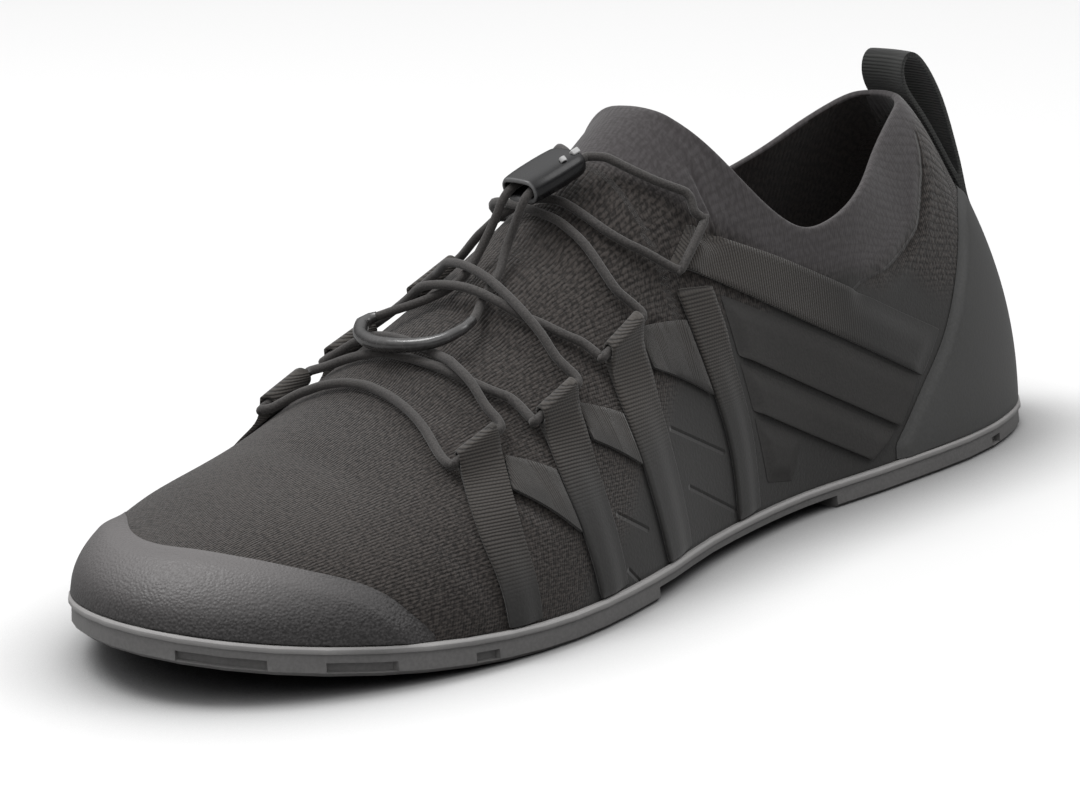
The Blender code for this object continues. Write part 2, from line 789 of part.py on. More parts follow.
def make_sole(material, parent):
    ring = ring_order()
    curves = {}
    for kind, value, _ in sole_rows():
        if kind == "inset":
            moved = inset(RIM, value)
            for side in (INNER_SIDE, OUTER_SIDE):
                curves[(value, side)] = edge_points(moved, STATIONS, side)
    feather = {side: edge_points(FEATHER, STATIONS, side) for side in (INNER_SIDE, OUTER_SIDE)}
    grid = []
    for i, side in ring:
        cx, cy = centre(STATIONS[i])
        fx, fy = feather[side][i]
        stack = []
        for kind, value, height in sole_rows():
            if kind == "share":
                x = cx + (fx - cx) * value
                y = cy + (fy - cy) * value
                lift = spring(x)
            else:
                x, y = curves[(value, side)][i]
                lift = spring(fx)
            back = np.clip(1 - x / HEEL_BEVEL_REACH, 0, 1) ** 2
            share = np.clip(1 - height / (SOLE_RIM - TRAY_DEPTH), 0, 1)
            stack.append((x, y, height + lift + HEEL_BEVEL * back * share))
        grid.append(stack)
    rows = len(sole_rows())
    points = [p for stack in grid for p in stack]
    faces = []
    for c in range(len(ring)):
        d = (c + 1) % len(ring)
        for j in range(rows - 1):
            faces.append((c * rows + j, d * rows + j, d * rows + j + 1, c * rows + j + 1))
    sole = make_object("outsole", points, faces, material, parent, 30.0)
    cut_sole(sole, parent)
    return sole


def block(points_low, points_high):
    """Closed block between two rings of four-point sections."""
    count = len(points_low)
    points = []
    for low, high in zip(points_low, points_high):
        points += [low[0], low[1], high[1], high[0]]
    faces = [(0, 1, 2, 3), tuple(4 * (count - 1) + k for k in (3, 2, 1, 0))]
    for s in range(count - 1):
        for k in range(4):
            a = 4 * s + k
            b = 4 * s + (k + 1) % 4
            faces.append((b, a, a + 4, b + 4))
    return points, faces


def side_pocket(side, start, end, depth, low, high):
    """Cutter along the sole's edge between two stations."""
    stations = np.linspace(start, end, 3)
    outside = edge_points(inset(RIM, -2 * LEDGE), stations, side)
    inside = edge_points(inset(RIM, depth), stations, side)
    rise = spring(edge_points(FEATHER, stations, side)[:, 0])
    lower = []
    upper = []
    for a, b, lift in zip(outside, inside, rise):
        lower.append(((a[0], a[1], low + lift), (b[0], b[1], low + lift)))
        upper.append(((a[0], a[1], high + lift), (b[0], b[1], high + lift)))
    return block(lower, upper)


def arch_pocket():
    """Cutter for the gap under the inner arch, between heel and forefoot."""
    stations = np.linspace(*ARCH_STATIONS, 9)
    edge = edge_points(inset(RIM, -2 * LEDGE), stations, INNER_SIDE)
    lower = []
    upper = []
    top = SOLE_RIM - BASE_THICKNESS
    for k, (x, y) in enumerate(edge):
        share = math.sin(math.pi * k / (len(stations) - 1))
        inner_y = y - ARCH_REACH * (0.35 + 0.65 * share)
        lower.append(((x, y, -CUT_PAST), (x, inner_y, -CUT_PAST)))
        upper.append(((x, y, top), (x, inner_y, top)))
    return block(lower, upper)


def tread_pocket(station, margin):
    """Cutter for one cross groove of the tread."""
    x = station * LENGTH
    inner = edge_points(RIM, [station], INNER_SIDE)[0][1] - margin
    outer = edge_points(RIM, [station], OUTER_SIDE)[0][1] + margin
    half = LUG_GROOVE_WIDTH / 2
    lift = float(spring(x))
    lower = []
    upper = []
    for share in np.linspace(0, 1, 5):
        y = outer + (inner - outer) * share
        mid = x + LUG_GROOVE_BOW * (1 - (2 * share - 1) ** 2)
        a, b = mid - half, mid + half
        lower.append(((b, y, lift - CUT_PAST), (a, y, lift - CUT_PAST)))
        upper.append(((b, y, lift + LUG_GROOVE_DEPTH), (a, y, lift + LUG_GROOVE_DEPTH)))
    return block(lower, upper)


def cut_sole(sole, parent):
    """Side pockets, arch gap and cross grooves are cut in one go."""
    shapes = [arch_pocket()]
    top = SOLE_RIM - BASE_THICKNESS
    for start, end in WINDOWS:
        for side in (INNER_SIDE, OUTER_SIDE):
            shapes.append(side_pocket(side, start, end, WINDOW_DEPTH, LIP_HEIGHT, top))
    margin = 5 * WINDOW_DEPTH
    for station in FOREFOOT_GROOVES + HEEL_GROOVES:
        shapes.append(tread_pocket(station, margin))
    points = []
    faces = []
    for p, f in shapes:
        shift = len(points)
        points += p
        faces += [tuple(k + shift for k in face) for face in f]
    cutter = make_object("sole_cutter", points, faces, sole.data.materials[0], parent)
    cutter.hide_render = True
    cutter.display_type = "WIRE"
    cut = sole.modifiers.new("pockets", "BOOLEAN")
    cut.object = cutter
    cut.operation = "DIFFERENCE"
    cut.solver = "EXACT"


def make_insole(material, parent):
    """Flat sock liner between the upper's walls."""
    ring = ring_order()
    edge = inset(FEATHER, UPPER_WALL + INSOLE_EASE)
    at = {side: edge_points(edge, STATIONS, side) for side in (INNER_SIDE, OUTER_SIDE)}
    low = SOLE_RIM - TRAY_DEPTH + GAP
    high = low + INSOLE_THICKNESS
    rows = ((0.0, high), (0.5, high), (0.985, high), (1.0, high - 0.5 * MM), (1.0, low), (0.5, low), (0.0, low))
    points = []
    kept = ring[::2]
    for i, side in kept:
        cx, cy = centre(STATIONS[i])
        ex, ey = at[side][i]
        for share, height in rows:
            x = cx + (ex - cx) * share
            y = cy + (ey - cy) * share
            points.append((x, y, height + spring(x)))
    faces = []
    count = len(rows)
    for c in range(len(kept)):
        d = (c + 1) % len(kept)
        for j in range(count - 1):
            faces.append((c * count + j, d * count + j, d * count + j + 1, c * count + j + 1))
    return make_object("insole", points, faces, material, parent, 30.0)


def lowest_level(w, side):
    """Level just above the sole's rim, where overlays begin."""
    return level_at_height(w, side, TRAY_DEPTH + 2 * GAP)


def edge_level(table, w):
    return smooth([row[0] for row in table], [row[1] for row in table], w)


def make_wrap(name, table, stations, thickness, steps, material, parent):
    """Overlay that runs round the toe or the heel between the rim and an edge."""
    inner = [(w, INNER_SIDE) for w in stations]
    outer = [(w, OUTER_SIDE) for w in reversed(stations[:-1])]
    columns = inner + outer
    faces_out = []
    faces_in = []
    for w, side in columns:
        low = float(lowest_level(w, side))
        high = float(edge_level(table, w))
        levels = np.linspace(low, max(high, low + 0.02), steps + 1)
        at = np.full(len(levels), w)
        faces_out.append(raised(at, levels, side, np.full(len(levels), WRAP_GAP + thickness)))
        faces_in.append(raised(at, levels, side, np.full(len(levels), WRAP_GAP)))
    return make_object(name, *shell(np.array(faces_out), np.array(faces_in)), material, parent)


def loop_profile(run):
    """Flat quads of a webbing loop: a tunnel for the cord, then a tail.

    A point is (distance from the loop's end, height above the upper)."""
    radius = CORD / 2 + CORD_SPACE
    outer = radius + WEBBING
    mid = (outer, GAP + outer)
    angles = (-38, 38, 80, 122, 164, 206, 248, 282)
    hole = [(mid[0] + radius * math.cos(math.radians(a)), mid[1] + radius * math.sin(math.radians(a)))
            for a in angles]
    cover = [(TAIL_START, GAP), (TAIL_START, GAP + WEBBING)]
    for a in angles[2:7]:
        cover.append((mid[0] + outer * math.cos(math.radians(a)), mid[1] + outer * math.sin(math.radians(a))))
    cover.append((mid[0] + 0.6 * outer, GAP))
    points = hole + cover
    quads = []
    for k in range(8):
        n = (k + 1) % 8
        quads.append((k, k + 8, n + 8, n))
    tail = [(8, 9)]
    for distance in run:
        low = len(points)
        points += [(distance, GAP), (distance, GAP + WEBBING)]
        tail.append((low, low + 1))
    for (a, b), (c, d) in zip(tail, tail[1:]):
        quads.append((a, c, d, b))
    return points, quads


def strap_edges(table, side):
    """Level, front and rear station columns of a strap on one side."""
    rows = []
    for level, front, rear in table:
        lift = OUTER_LOOP_RAISE * (level / table[0][0]) ** 2 if side == OUTER_SIDE else 0.0
        rows.append((level + lift, front, rear))
    return rows


def edge_station(rows, level, column_index):
    levels = [row[0] for row in reversed(rows)]
    values = [row[column_index] for row in reversed(rows)]
    return smooth(levels, values, level)


def guide_line(stations, levels, side):
    """Dense run of a strap's edge with distances from its start."""
    points = last_point(stations, levels, side)
    step = np.linalg.norm(np.diff(points, axis=0), axis=1)
    return np.concatenate([[0], np.cumsum(step)])


def make_loop(name, paths, side, segments, material, parent):
    """Webbing loop whose front and rear edges follow two runs on the upper."""
    lengths = [guide_line(w, v, side) for w, v in paths]
    total = min(run[-1] for run in lengths)
    tail = np.linspace(TAIL_START, total, segments + 1)[1:]
    profile, quads = loop_profile(tail)
    stacks = []
    for share in (0.0, 0.5, 1.0):
        stack = []
        for distance, height in profile:
            part = distance / total
            ws = []
            vs = []
            for run, (w, v) in zip(lengths, paths):
                at = distance if distance < 2 * TAIL_START else part * run[-1]
                at = distance + (at - distance) * min(1, distance / total)
                ws.append(np.interp(at, run, w))
                vs.append(np.interp(at, run, v))
            w = ws[0] + (ws[1] - ws[0]) * share
            v = vs[0] + (vs[1] - vs[0]) * share
            stack.append(raised(w, v, side, height))
        stacks.append(stack)
    points, faces = profile_sweep(quads, stacks)
    return make_object(name, points, faces, material, parent, 35.0)


def strap_paths(table, side):
    """Front and rear runs of a strap from its loop down to the rim."""
    rows = strap_edges(table, side)
    paths = []
    for k in (1, 2):
        base = float(lowest_level(rows[-1][k], side))
        levels = np.linspace(rows[0][0], base, 60)
        paths.append((edge_station(rows, levels, k), levels))
    return paths


def back_strap_paths(side):
    lift = OUTER_LOOP_RAISE if side == OUTER_SIDE else 0.0
    shares = np.linspace(0, 1, 60)
    run = [row[0] for row in BACK_STRAP]
    paths = []
    for k in (3, 1):
        w = smooth(run, [row[k] for row in BACK_STRAP], shares)
        rise = smooth(run, [row[k + 1] for row in BACK_STRAP], shares)
        v = level_at_height(w, side, rise * HEEL_HEIGHT)
        paths.append((w, v + lift * np.clip(1 - shares / OUTER_RAISE_REACH, 0, 1)))
    return paths


def make_patch(name, corners, side, rows, columns, heights, material, parent):
    """Flat overlay between two edges, each given by end stations and heights."""
    (wa, ha), (wb, hb), (wc, hc), (wd, hd) = corners
    outside = []
    inside = []
    for i in range(rows + 1):
        s = i / rows
        start = (wa + (wc - wa) * s, ha + (hc - ha) * s)
        end = (wb + (wd - wb) * s, hb + (hd - hb) * s)
        t = np.linspace(0, 1, columns + 1)
        w = start[0] + (end[0] - start[0]) * t
        v = level_at_height(w, side, (start[1] + (end[1] - start[1]) * t) * HEEL_HEIGHT)
        high = heights[0] + (heights[1] - heights[0]) * s
        outside.append(raised(w, v, side, np.full(len(t), GAP + high)))
        inside.append(raised(w, v, side, np.full(len(t), GAP)))
    return make_object(name, *shell(np.array(outside), np.array(inside)), material, parent)


def make_fan(name, first, second, levels, side, material, parent):
    """Panel between a strap's rear edge and the next strap's front edge."""
    space = SEAM_SPACE / LENGTH
    upper_a, lower_a, upper_b, lower_b = levels
    scale_a = first[0][0] / LOOP_TOPS[first[0][3]]
    scale_b = second[0][0] / LOOP_TOPS[second[0][3]]
    outside = []
    inside = []
    for i in range(3):
        s = i / 2
        va = (upper_a + (lower_a - upper_a) * s) * scale_a
        vb = (upper_b + (lower_b - upper_b) * s) * scale_b
        wa = float(edge_station([r[:3] for r in first], va, 2)) - space
        wb = float(edge_station([r[:3] for r in second], vb, 1)) + space
        t = np.linspace(0, 1, 4)
        high = PANEL_FADE + (PANEL_EDGE - PANEL_FADE) * s
        outside.append(raised(wa + (wb - wa) * t, va + (vb - va) * t, side, np.full(4, GAP + high)))
        inside.append(raised(wa + (wb - wa) * t, va + (vb - va) * t, side, np.full(4, GAP)))
    return make_object(name, *shell(np.array(outside), np.array(inside)), material, parent)


STRAPS = LOOPS + (UPRIGHT,)
LOOP_TOPS = [table[0][0] for table in STRAPS]


def layer_height(layer):
    return CORD / 2 + CORD_REST + layer * (CORD + CORD_CROSS)


def strand_points(rows):
    return [over_ridge(w, u, layer_height(layer)) for w, u, layer in rows]


def tunnel_points(paths, side):
    """Middle line of a loop's tunnel, led out a little at both ends."""
    outer = CORD / 2 + CORD_SPACE + WEBBING
    ends = []
    for w, v in paths:
        run = guide_line(w, v, side)
        ends.append((np.interp(outer, run, w), np.interp(outer, run, v)))
    (wa, va), (wb, vb) = ends
    shares = (-LOOP_LEAD, 0.02, 0.5, 0.98, 1 + LOOP_LEAD)
    return [raised(wa + (wb - wa) * t, va + (vb - va) * t, side, GAP + outer) for t in shares]


def lock_point(along, across, up):
    """Point in the cord lock's own directions, forwards, sideways and up."""
    x = LOCK_PLACE[0] * LENGTH + along * math.cos(LOCK_TILT) - up * math.sin(LOCK_TILT)
    y = LOCK_PLACE[1] * LENGTH + across
    z = LOCK_PLACE[2] * INSTEP_HEIGHT + along * math.sin(LOCK_TILT) + up * math.cos(LOCK_TILT)
    return np.array([x, y, z])


def thinned(points, tolerance):
    """Fewest points of a dense line that keep its form."""
    if len(points) < 3:
        return list(points)
    a, b = points[0], points[-1]
    along = (b - a) / np.linalg.norm(b - a)
    rest = points - a
    away = np.linalg.norm(rest - np.outer(rest @ along, along), axis=1)
    k = int(np.argmax(away))
    if away[k] <= tolerance:
        return [a, b]
    return thinned(points[:k + 1], tolerance)[:-1] + thinned(points[k:], tolerance)


def make_tube(name, route, diameter, roundness, material, parent):
    """Cord on a smooth curve through the route's points."""
    dense = curve_through(route, 8, False)
    kept = thinned(dense, CORD_TOLERANCE)
    curve = bpy.data.curves.new(name, "CURVE")
    curve.dimensions = "3D"
    curve.bevel_depth = diameter / 2
    curve.bevel_resolution = roundness
    curve.use_fill_caps = True
    spline = curve.splines.new("POLY")
    spline.points.add(len(kept) - 1)
    for point, place_at in zip(spline.points, kept):
        point.co = (*place_at, 1.0)
    curve.materials.append(material)
    item = bpy.data.objects.new(name, curve)
    bpy.context.scene.collection.objects.link(item)
    place(item, parent)
    return item


def lace_route():
    """Once through all eight loops, from inside the lock and back into it."""
    tunnels = {}
    for side in (INNER_SIDE, OUTER_SIDE):
        for k, table in enumerate(LOOPS):
            tunnels[(side, k)] = tunnel_points(strap_paths(table, side), side)
        tunnels[(side, 3)] = tunnel_points(back_strap_paths(side), side)
    legs = {}
    middle = (LOCK_GRIP - 0.5) * LOCK_LENGTH / 2
    for side in (INNER_SIDE, OUTER_SIDE):
        raise_by = 0.0 if side == INNER_SIDE else OUTER_LEG_RAISE
        rows = [(w, side * (u - raise_by * u / LOCK_LEG[0][1]), layer) for w, u, layer in LOCK_LEG]
        leg = strand_points(rows)
        across = side * MOUTH_SPREAD
        leg.append(lock_point(-0.5 * LOCK_LENGTH - CORD, across, 0.0))
        leg.append(lock_point(-0.46 * LOCK_LENGTH, across, 0.0))
        leg.append(lock_point(middle, across, 0.0))
        legs[side] = leg
    route = legs[INNER_SIDE][::-1]
    route += tunnels[(INNER_SIDE, 3)][::-1]
    route += strand_points(THIRD_OUTER_TO_INNER)[::-1]
    route += tunnels[(OUTER_SIDE, 2)][::-1]
    route += strand_points(SECOND_INNER_TO_OUTER)[::-1]
    route += tunnels[(INNER_SIDE, 1)][::-1]
    route += strand_points(FIRST_OUTER_TO_INNER)[::-1]
    route += tunnels[(OUTER_SIDE, 0)][::-1]
    route += strand_points(FRONT_BAR)
    route += tunnels[(INNER_SIDE, 0)]
    route += strand_points(FIRST_INNER_TO_OUTER)
    route += tunnels[(OUTER_SIDE, 1)]
    route += strand_points(SECOND_OUTER_TO_INNER)
    route += tunnels[(INNER_SIDE, 2)]
    route += strand_points(THIRD_INNER_TO_OUTER)
    route += tunnels[(OUTER_SIDE, 3)]
    route += legs[OUTER_SIDE]
    return route


def end_route(rows, side):
    """A loose end from inside the lock over its mouth down to the sleeve."""
    across = side * MOUTH_SPREAD
    start = (LOCK_GRIP - 0.5) * LOCK_LENGTH / 2 + 2 * GAP
    route = [lock_point(start, across, 0.0), lock_point(0.5 * LOCK_LENGTH, across, 0.0)]
    route.append(lock_point(0.5 * LOCK_LENGTH + CORD, across, -0.4 * CORD))
    down = strand_points(rows)
    fall = route[-1] * 0.55 + down[0] * 0.45
    fall[0] = route[-1][0] * 0.75 + down[0][0] * 0.25
    return route + [fall] + down


def make_lock(material, parent):
    stacks = []
    half = LOCK_WIDTH / 2
    for along, wide, high in LOCK_STATIONS:
        outer = []
        inner = []
        for a, b, c, d in LOCK_SECTION:
            outer.append(lock_point(along * LOCK_LENGTH, a * wide * half, (b - 0.5) * high * LOCK_HEIGHT))
            inner.append(lock_point(along * LOCK_LENGTH, c * half, (d - 0.49) * LOCK_HEIGHT))
        stacks.append(inner + outer)
    quads = []
    for k in range(8):
        n = (k + 1) % 8
        quads.append((k, k + 8, n + 8, n))
    return make_object("cord_lock", *profile_sweep(quads, stacks), material, parent, 35.0)


def back_point(share, offset):
    """Point on the middle line of the heel's back at a share of its height."""
    level = level_at_height(0.0, INNER_SIDE, share * HEEL_HEIGHT - FEATHER_RISE)
    return raised(0.0, level, INNER_SIDE, offset)


def make_pull_loop(material, parent):
    """Folded webbing at the heel: one leg on the shoe, the other standing free."""
    seat = WRAP_GAP + COUNTER_THICKNESS + GAP
    half = PULL_WEBBING / 2
    front = [back_point(share, seat + half) for share in PULL_FRONT]
    free = [np.array([x * LENGTH, 0.0, z * HEEL_HEIGHT]) for x, z in PULL_FOLD]
    line = np.array(front + free)[:, [0, 2]]
    along = np.roll(line, -1, 0) - np.roll(line, 1, 0)
    across = np.stack([-along[:, 1], along[:, 0]], -1)
    across /= np.linalg.norm(across, axis=1)[:, None]
    count = len(line)
    points = [tuple(p) for p in line + across * half] + [tuple(p) for p in line - across * half]
    quads = []
    for k in range(count):
        n = (k + 1) % count
        quads.append((k, k + count, n + count, n))
    tail = [(2 * count - 1, count)]
    for share in PULL_TAIL:
        low = len(points)
        near = back_point(share, seat)
        far = back_point(share, seat + 1.6 * half)
        points += [(far[0], far[2]), (near[0], near[2])]
        tail.append((low, low + 1))
    for (a, b), (c, d) in zip(tail, tail[1:]):
        quads.append((a, c, d, b))
    stacks = []
    for c in (-1.0, -0.5, 0.0, 0.5, 1.0):
        bow = PULL_BOW * c * c
        stacks.append([(x + bow, c * PULL_WIDTH / 2, z) for x, z in points])
    return make_object("pull_loop", *profile_sweep(quads, stacks), material, parent, 35.0)


def side_name(side):
    return "medial" if side == INNER_SIDE else "lateral"


def make_straps(webbing, panel, parent):
    for side in (INNER_SIDE, OUTER_SIDE):
        label = side_name(side)
        for k, table in enumerate(LOOPS):
            make_loop("loop_%s_%d" % (label, k + 1), strap_paths(table, side), side, 6, webbing, parent)
        make_loop("loop_%s_4" % label, back_strap_paths(side), side, 12, webbing, parent)
        tables = []
        for k, table in enumerate(STRAPS):
            tables.append([row + (k,) for row in strap_edges(table, side)])
        for k, levels in enumerate(FANS):
            make_fan("fan_%s_%d" % (label, k + 1), tables[k], tables[k + 1], levels, side, panel, parent)
        make_upright("upright_%s" % label, side, webbing, parent)
        for k, (upper, lower) in enumerate(REAR_PANELS):
            corners = (upper[0:2], upper[2:4], lower[0:2], lower[2:4])
            make_patch("rear_panel_%s_%d" % (label, k + 1), corners, side, 2, 6,
                       (PANEL_FADE, PANEL_EDGE), panel, parent)


def make_upright(name, side, material, parent):
    """Strap from under the fourth loop down to the rim."""
    rows = strap_edges(UPRIGHT, side)
    base = max(float(lowest_level(rows[-1][k], side)) for k in (1, 2))
    front_top = rows[0][0]
    rear_top = rows[0][0] - 0.055
    outside = []
    inside = []
    for share in (0.0, 0.5, 1.0):
        top = front_top + (rear_top - front_top) * share
        levels = np.linspace(top, base, 8)
        front = edge_station(rows, levels, 1)
        rear = edge_station(rows, levels, 2)
        w = front + (rear - front) * share
        outside.append(raised(w, levels, side, np.full(8, GAP + WEBBING)))
        inside.append(raised(w, levels, side, np.full(8, GAP)))
    return make_object(name, *shell(np.array(outside), np.array(inside)), material, parent)


def main():
    clear_scene()
    shoe = bpy.data.objects.new("shoe", None)
    bpy.context.scene.collection.objects.link(shoe)
    shoe.location = (SHOE_X, SHOE_Y, 0)
    rubber = make_material("sole_rubber", (0.115, 0.112, 0.110), 0.62)
    knit = make_material("knit", (0.045, 0.041, 0.038), 0.9)
    cap = make_material("cap_rubber", (0.150, 0.140, 0.140), 0.7)
    counter = make_material("counter_film", (0.066, 0.066, 0.064), 0.6)
    webbing = make_material("webbing", (0.062, 0.058, 0.053), 0.85)
    film = make_material("side_film", (0.048, 0.046, 0.045), 0.7)
    liner = make_material("liner", (0.02, 0.019, 0.018), 0.95)
    make_sole(rubber, shoe)
    make_upper(knit, shoe)
    make_insole(liner, shoe)
    cap_stations = list(np.concatenate([np.linspace(0.828, TOE_CENTRE, 5)[:-1],
                                        np.linspace(TOE_CENTRE, 1, 9)]))
    make_wrap("toe_cap", CAP_EDGE, cap_stations, CAP_THICKNESS, 5, cap, shoe)
    counter_stations = list(np.concatenate([np.linspace(0.256, HEEL_CENTRE, 8)[:-1],
                                            np.linspace(HEEL_CENTRE, 0, 7)]))
    make_wrap("heel_counter", COUNTER_EDGE, counter_stations, COUNTER_THICKNESS, 5, counter, shoe)
    make_straps(webbing, film, shoe)
    make_pull_loop(webbing, shoe)
    cord = make_material("cord", (0.060, 0.055, 0.050), 0.8)
    plastic = make_material("lock_plastic", (0.018, 0.018, 0.019), 0.3)
    sleeve = make_material("sleeve_plastic", (0.26, 0.25, 0.25), 0.4)
    make_lock(plastic, shoe)
    make_tube("lace", lace_route(), CORD, 1, cord, shoe)
    make_tube("lace_end_lateral", end_route(OUTER_END, OUTER_SIDE), CORD, 2, cord, shoe)
    make_tube("lace_end_medial", end_route(INNER_END, INNER_SIDE), CORD, 2, cord, shoe)
    make_tube("end_sleeve", strand_points(SLEEVE), TAB_THICKNESS, 2, sleeve, shoe)


main()
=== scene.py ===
# %% [markdown]
# # Dressing a knit barefoot shoe
# The shoe comes from its CAD frame as plain, coarse solids. This lesson gives it
# the look of the real one: a ribbed knit sock, woven loops that carry an elastic
# cord, thin film panels, a pebbled toe cap and a moulded rubber sole.

import bpy
import bmesh
import math
import numpy as np
from mathutils import Matrix, Vector
from mathutils.bvhtree import BVHTree
from mathutils.kdtree import KDTree


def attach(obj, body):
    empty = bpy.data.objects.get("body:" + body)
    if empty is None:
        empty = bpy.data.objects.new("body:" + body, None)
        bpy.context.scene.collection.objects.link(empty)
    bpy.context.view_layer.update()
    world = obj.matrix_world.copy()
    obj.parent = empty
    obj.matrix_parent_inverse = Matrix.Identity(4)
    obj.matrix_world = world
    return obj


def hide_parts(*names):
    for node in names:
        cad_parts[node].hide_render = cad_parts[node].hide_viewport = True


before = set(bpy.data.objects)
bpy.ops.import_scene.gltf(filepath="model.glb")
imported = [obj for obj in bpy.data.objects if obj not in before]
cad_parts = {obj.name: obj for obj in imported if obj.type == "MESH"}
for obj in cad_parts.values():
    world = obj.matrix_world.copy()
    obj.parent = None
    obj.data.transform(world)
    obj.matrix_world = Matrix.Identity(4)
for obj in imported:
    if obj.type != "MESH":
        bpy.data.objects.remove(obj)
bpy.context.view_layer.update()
MM = 0.001

# %% [markdown]
# ## Small tools for shader trees
# Every finish is built from the same few nodes. These helpers add a node, feed it
# with links or plain numbers and hand back its output, so that a finish reads
# like a sum.


# %% Node helpers
def feed(tree, node, values):
    """Fill inputs of a node, each by a link or with a plain number, vector or colour."""
    for key, value in values.items():
        socket = node.inputs[key]
        if isinstance(value, tuple):
            socket.default_value = (*value, 1.0) if len(socket.default_value) == 4 else value
        elif isinstance(value, (int, float)):
            socket.default_value = value
        else:
            tree.links.new(value, socket)


def add_node(tree, kind, inputs=None, **settings):
    """A new shader node with its settings and inputs."""
    node = tree.nodes.new(kind)
    for key, value in settings.items():
        setattr(node, key, value)
    feed(tree, node, inputs or {})
    return node


def plain_material(name, color, roughness):
    """A material, its node tree and its Principled shader, ready for more nodes."""
    material = bpy.data.materials.new(name)
    material.use_nodes = True
    tree = material.node_tree
    shader = tree.nodes["Principled BSDF"]
    feed(tree, shader, {"Base Color": color, "Roughness": roughness})
    return material, tree, shader


def maths(tree, operation, first, second=0.0, clamp=False):
    return add_node(tree, "ShaderNodeMath", {0: first, 1: second}, operation=operation,
                    use_clamp=clamp).outputs[0]


def noise(tree, vector, scale, detail=2.0):
    inputs = {"Vector": vector, "Scale": scale, "Detail": detail}
    return add_node(tree, "ShaderNodeTexNoise", inputs).outputs["Fac"]


def stretch(tree, value, low, high):
    """Spread the span from low to high over 0 to 1."""
    inputs = {"Value": value, "From Min": low, "From Max": high}
    return add_node(tree, "ShaderNodeMapRange", inputs,
                    interpolation_type="SMOOTHSTEP").outputs["Result"]


def mix_colors(tree, mask, first, second):
    inputs = {0: mask, 6: first, 7: second}
    return add_node(tree, "ShaderNodeMix", inputs, data_type="RGBA").outputs[2]


def mix_numbers(tree, mask, first, second):
    inputs = {0: mask, 2: first, 3: second}
    return add_node(tree, "ShaderNodeMix", inputs, data_type="FLOAT").outputs[0]


def bumped(tree, height, strength, distance):
    inputs = {"Height": height, "Strength": strength, "Distance": distance}
    return add_node(tree, "ShaderNodeBump", inputs).outputs["Normal"]


def object_place(tree):
    return add_node(tree, "ShaderNodeTexCoord").outputs["Object"]


def split_axes(tree, vector):
    return add_node(tree, "ShaderNodeSeparateXYZ", {0: vector}).outputs


def wave(tree, value, pitch):
    """A row of round ridges, one for each pitch."""
    turn = maths(tree, "MULTIPLY", value, math.pi / pitch)
    return maths(tree, "ABSOLUTE", maths(tree, "SINE", turn))


def weighed(tree, *pairs):
    """The sum of some values, each times its weight."""
    total = None
    for value, weight in pairs:
        part = maths(tree, "MULTIPLY", value, weight)
        total = part if total is None else maths(tree, "ADD", total, part)
    return total


print("helpers are ready")

# %% [markdown]
# ## Camera, floor and light
# The photograph was taken with a long lens from the front of the inner side, a
# little above the floor. The camera stands on that line and aims near the middle
# of the shoe. A pale floor and big soft lights give the flat studio look.

# %% Camera
AIM = Vector((-0.0025, -0.0022, 0.0400))
AZIMUTH = math.radians(46.4)
ELEVATION = math.radians(14.0)
ROLL = math.radians(-2.35)
DISTANCE = 0.7805
PHOTO_WIDTH = 1080.0
PHOTO_HEIGHT = 798.0
SENSOR = 36.0
FOCAL_PIXELS = 3403.4
AIM_PIXEL = (598.0, 359.5)

back = Vector((math.cos(AZIMUTH) * math.cos(ELEVATION),
               math.sin(AZIMUTH) * math.cos(ELEVATION), math.sin(ELEVATION)))
right = Vector((-math.sin(AZIMUTH), math.cos(AZIMUTH), 0.0))
up = back.cross(right)
turned_right = right * math.cos(ROLL) + up * math.sin(ROLL)
turned_up = up * math.cos(ROLL) - right * math.sin(ROLL)
bpy.ops.object.camera_add(location=AIM + back * DISTANCE)
camera = bpy.context.object
camera.name = "photo_camera"
camera.rotation_euler = Matrix((turned_right, turned_up, back)).transposed().to_euler()
camera.data.sensor_width = SENSOR
camera.data.lens = FOCAL_PIXELS * SENSOR / PHOTO_WIDTH
camera.data.shift_x = (PHOTO_WIDTH / 2 - AIM_PIXEL[0]) / PHOTO_WIDTH
camera.data.shift_y = (AIM_PIXEL[1] - PHOTO_HEIGHT / 2) / PHOTO_WIDTH
camera.data.clip_end = 20.0
bpy.context.scene.camera = camera
print("lens", round(camera.data.lens, 1), "mm")


# %% Floor and lights
FLOOR_TO_SHOE = (0.30, 0.30, 0.30)
FLOOR_TO_CAMERA = (0.80, 0.80, 0.80)
CONTACT_REACH = 32 * MM
CONTACT_POWER = 0.95
CONTACT_COLOR = (0.015, 0.015, 0.018)
SKY_AT_HORIZON = 0.10
SKY_OVERHEAD = 1.22

# The floor looks white to the camera, but it throws less light back on the
# shoe, as a retouched studio photograph does.
paper, tree, shader = plain_material("floor_paper", FLOOR_TO_CAMERA, 0.9)
seen = add_node(tree, "ShaderNodeLightPath").outputs["Is Camera Ray"]
clean = mix_colors(tree, seen, FLOOR_TO_SHOE, FLOOR_TO_CAMERA)
# Close under the sole the paper is darker, as in the photograph's deep contact shadow.
contact = add_node(tree, "ShaderNodeAmbientOcclusion", {"Distance": CONTACT_REACH}, samples=8)
openness = maths(tree, "POWER", contact.outputs["AO"], CONTACT_POWER)
shaded = mix_colors(tree, openness, CONTACT_COLOR, clean)
feed(tree, shader, {"Base Color": shaded, "Specular IOR Level": 0.0})
bpy.ops.mesh.primitive_plane_add(size=12.0, location=(0, 0, 0))
floor = bpy.context.object
floor.name = "studio_floor"
floor.data.materials.append(paper)

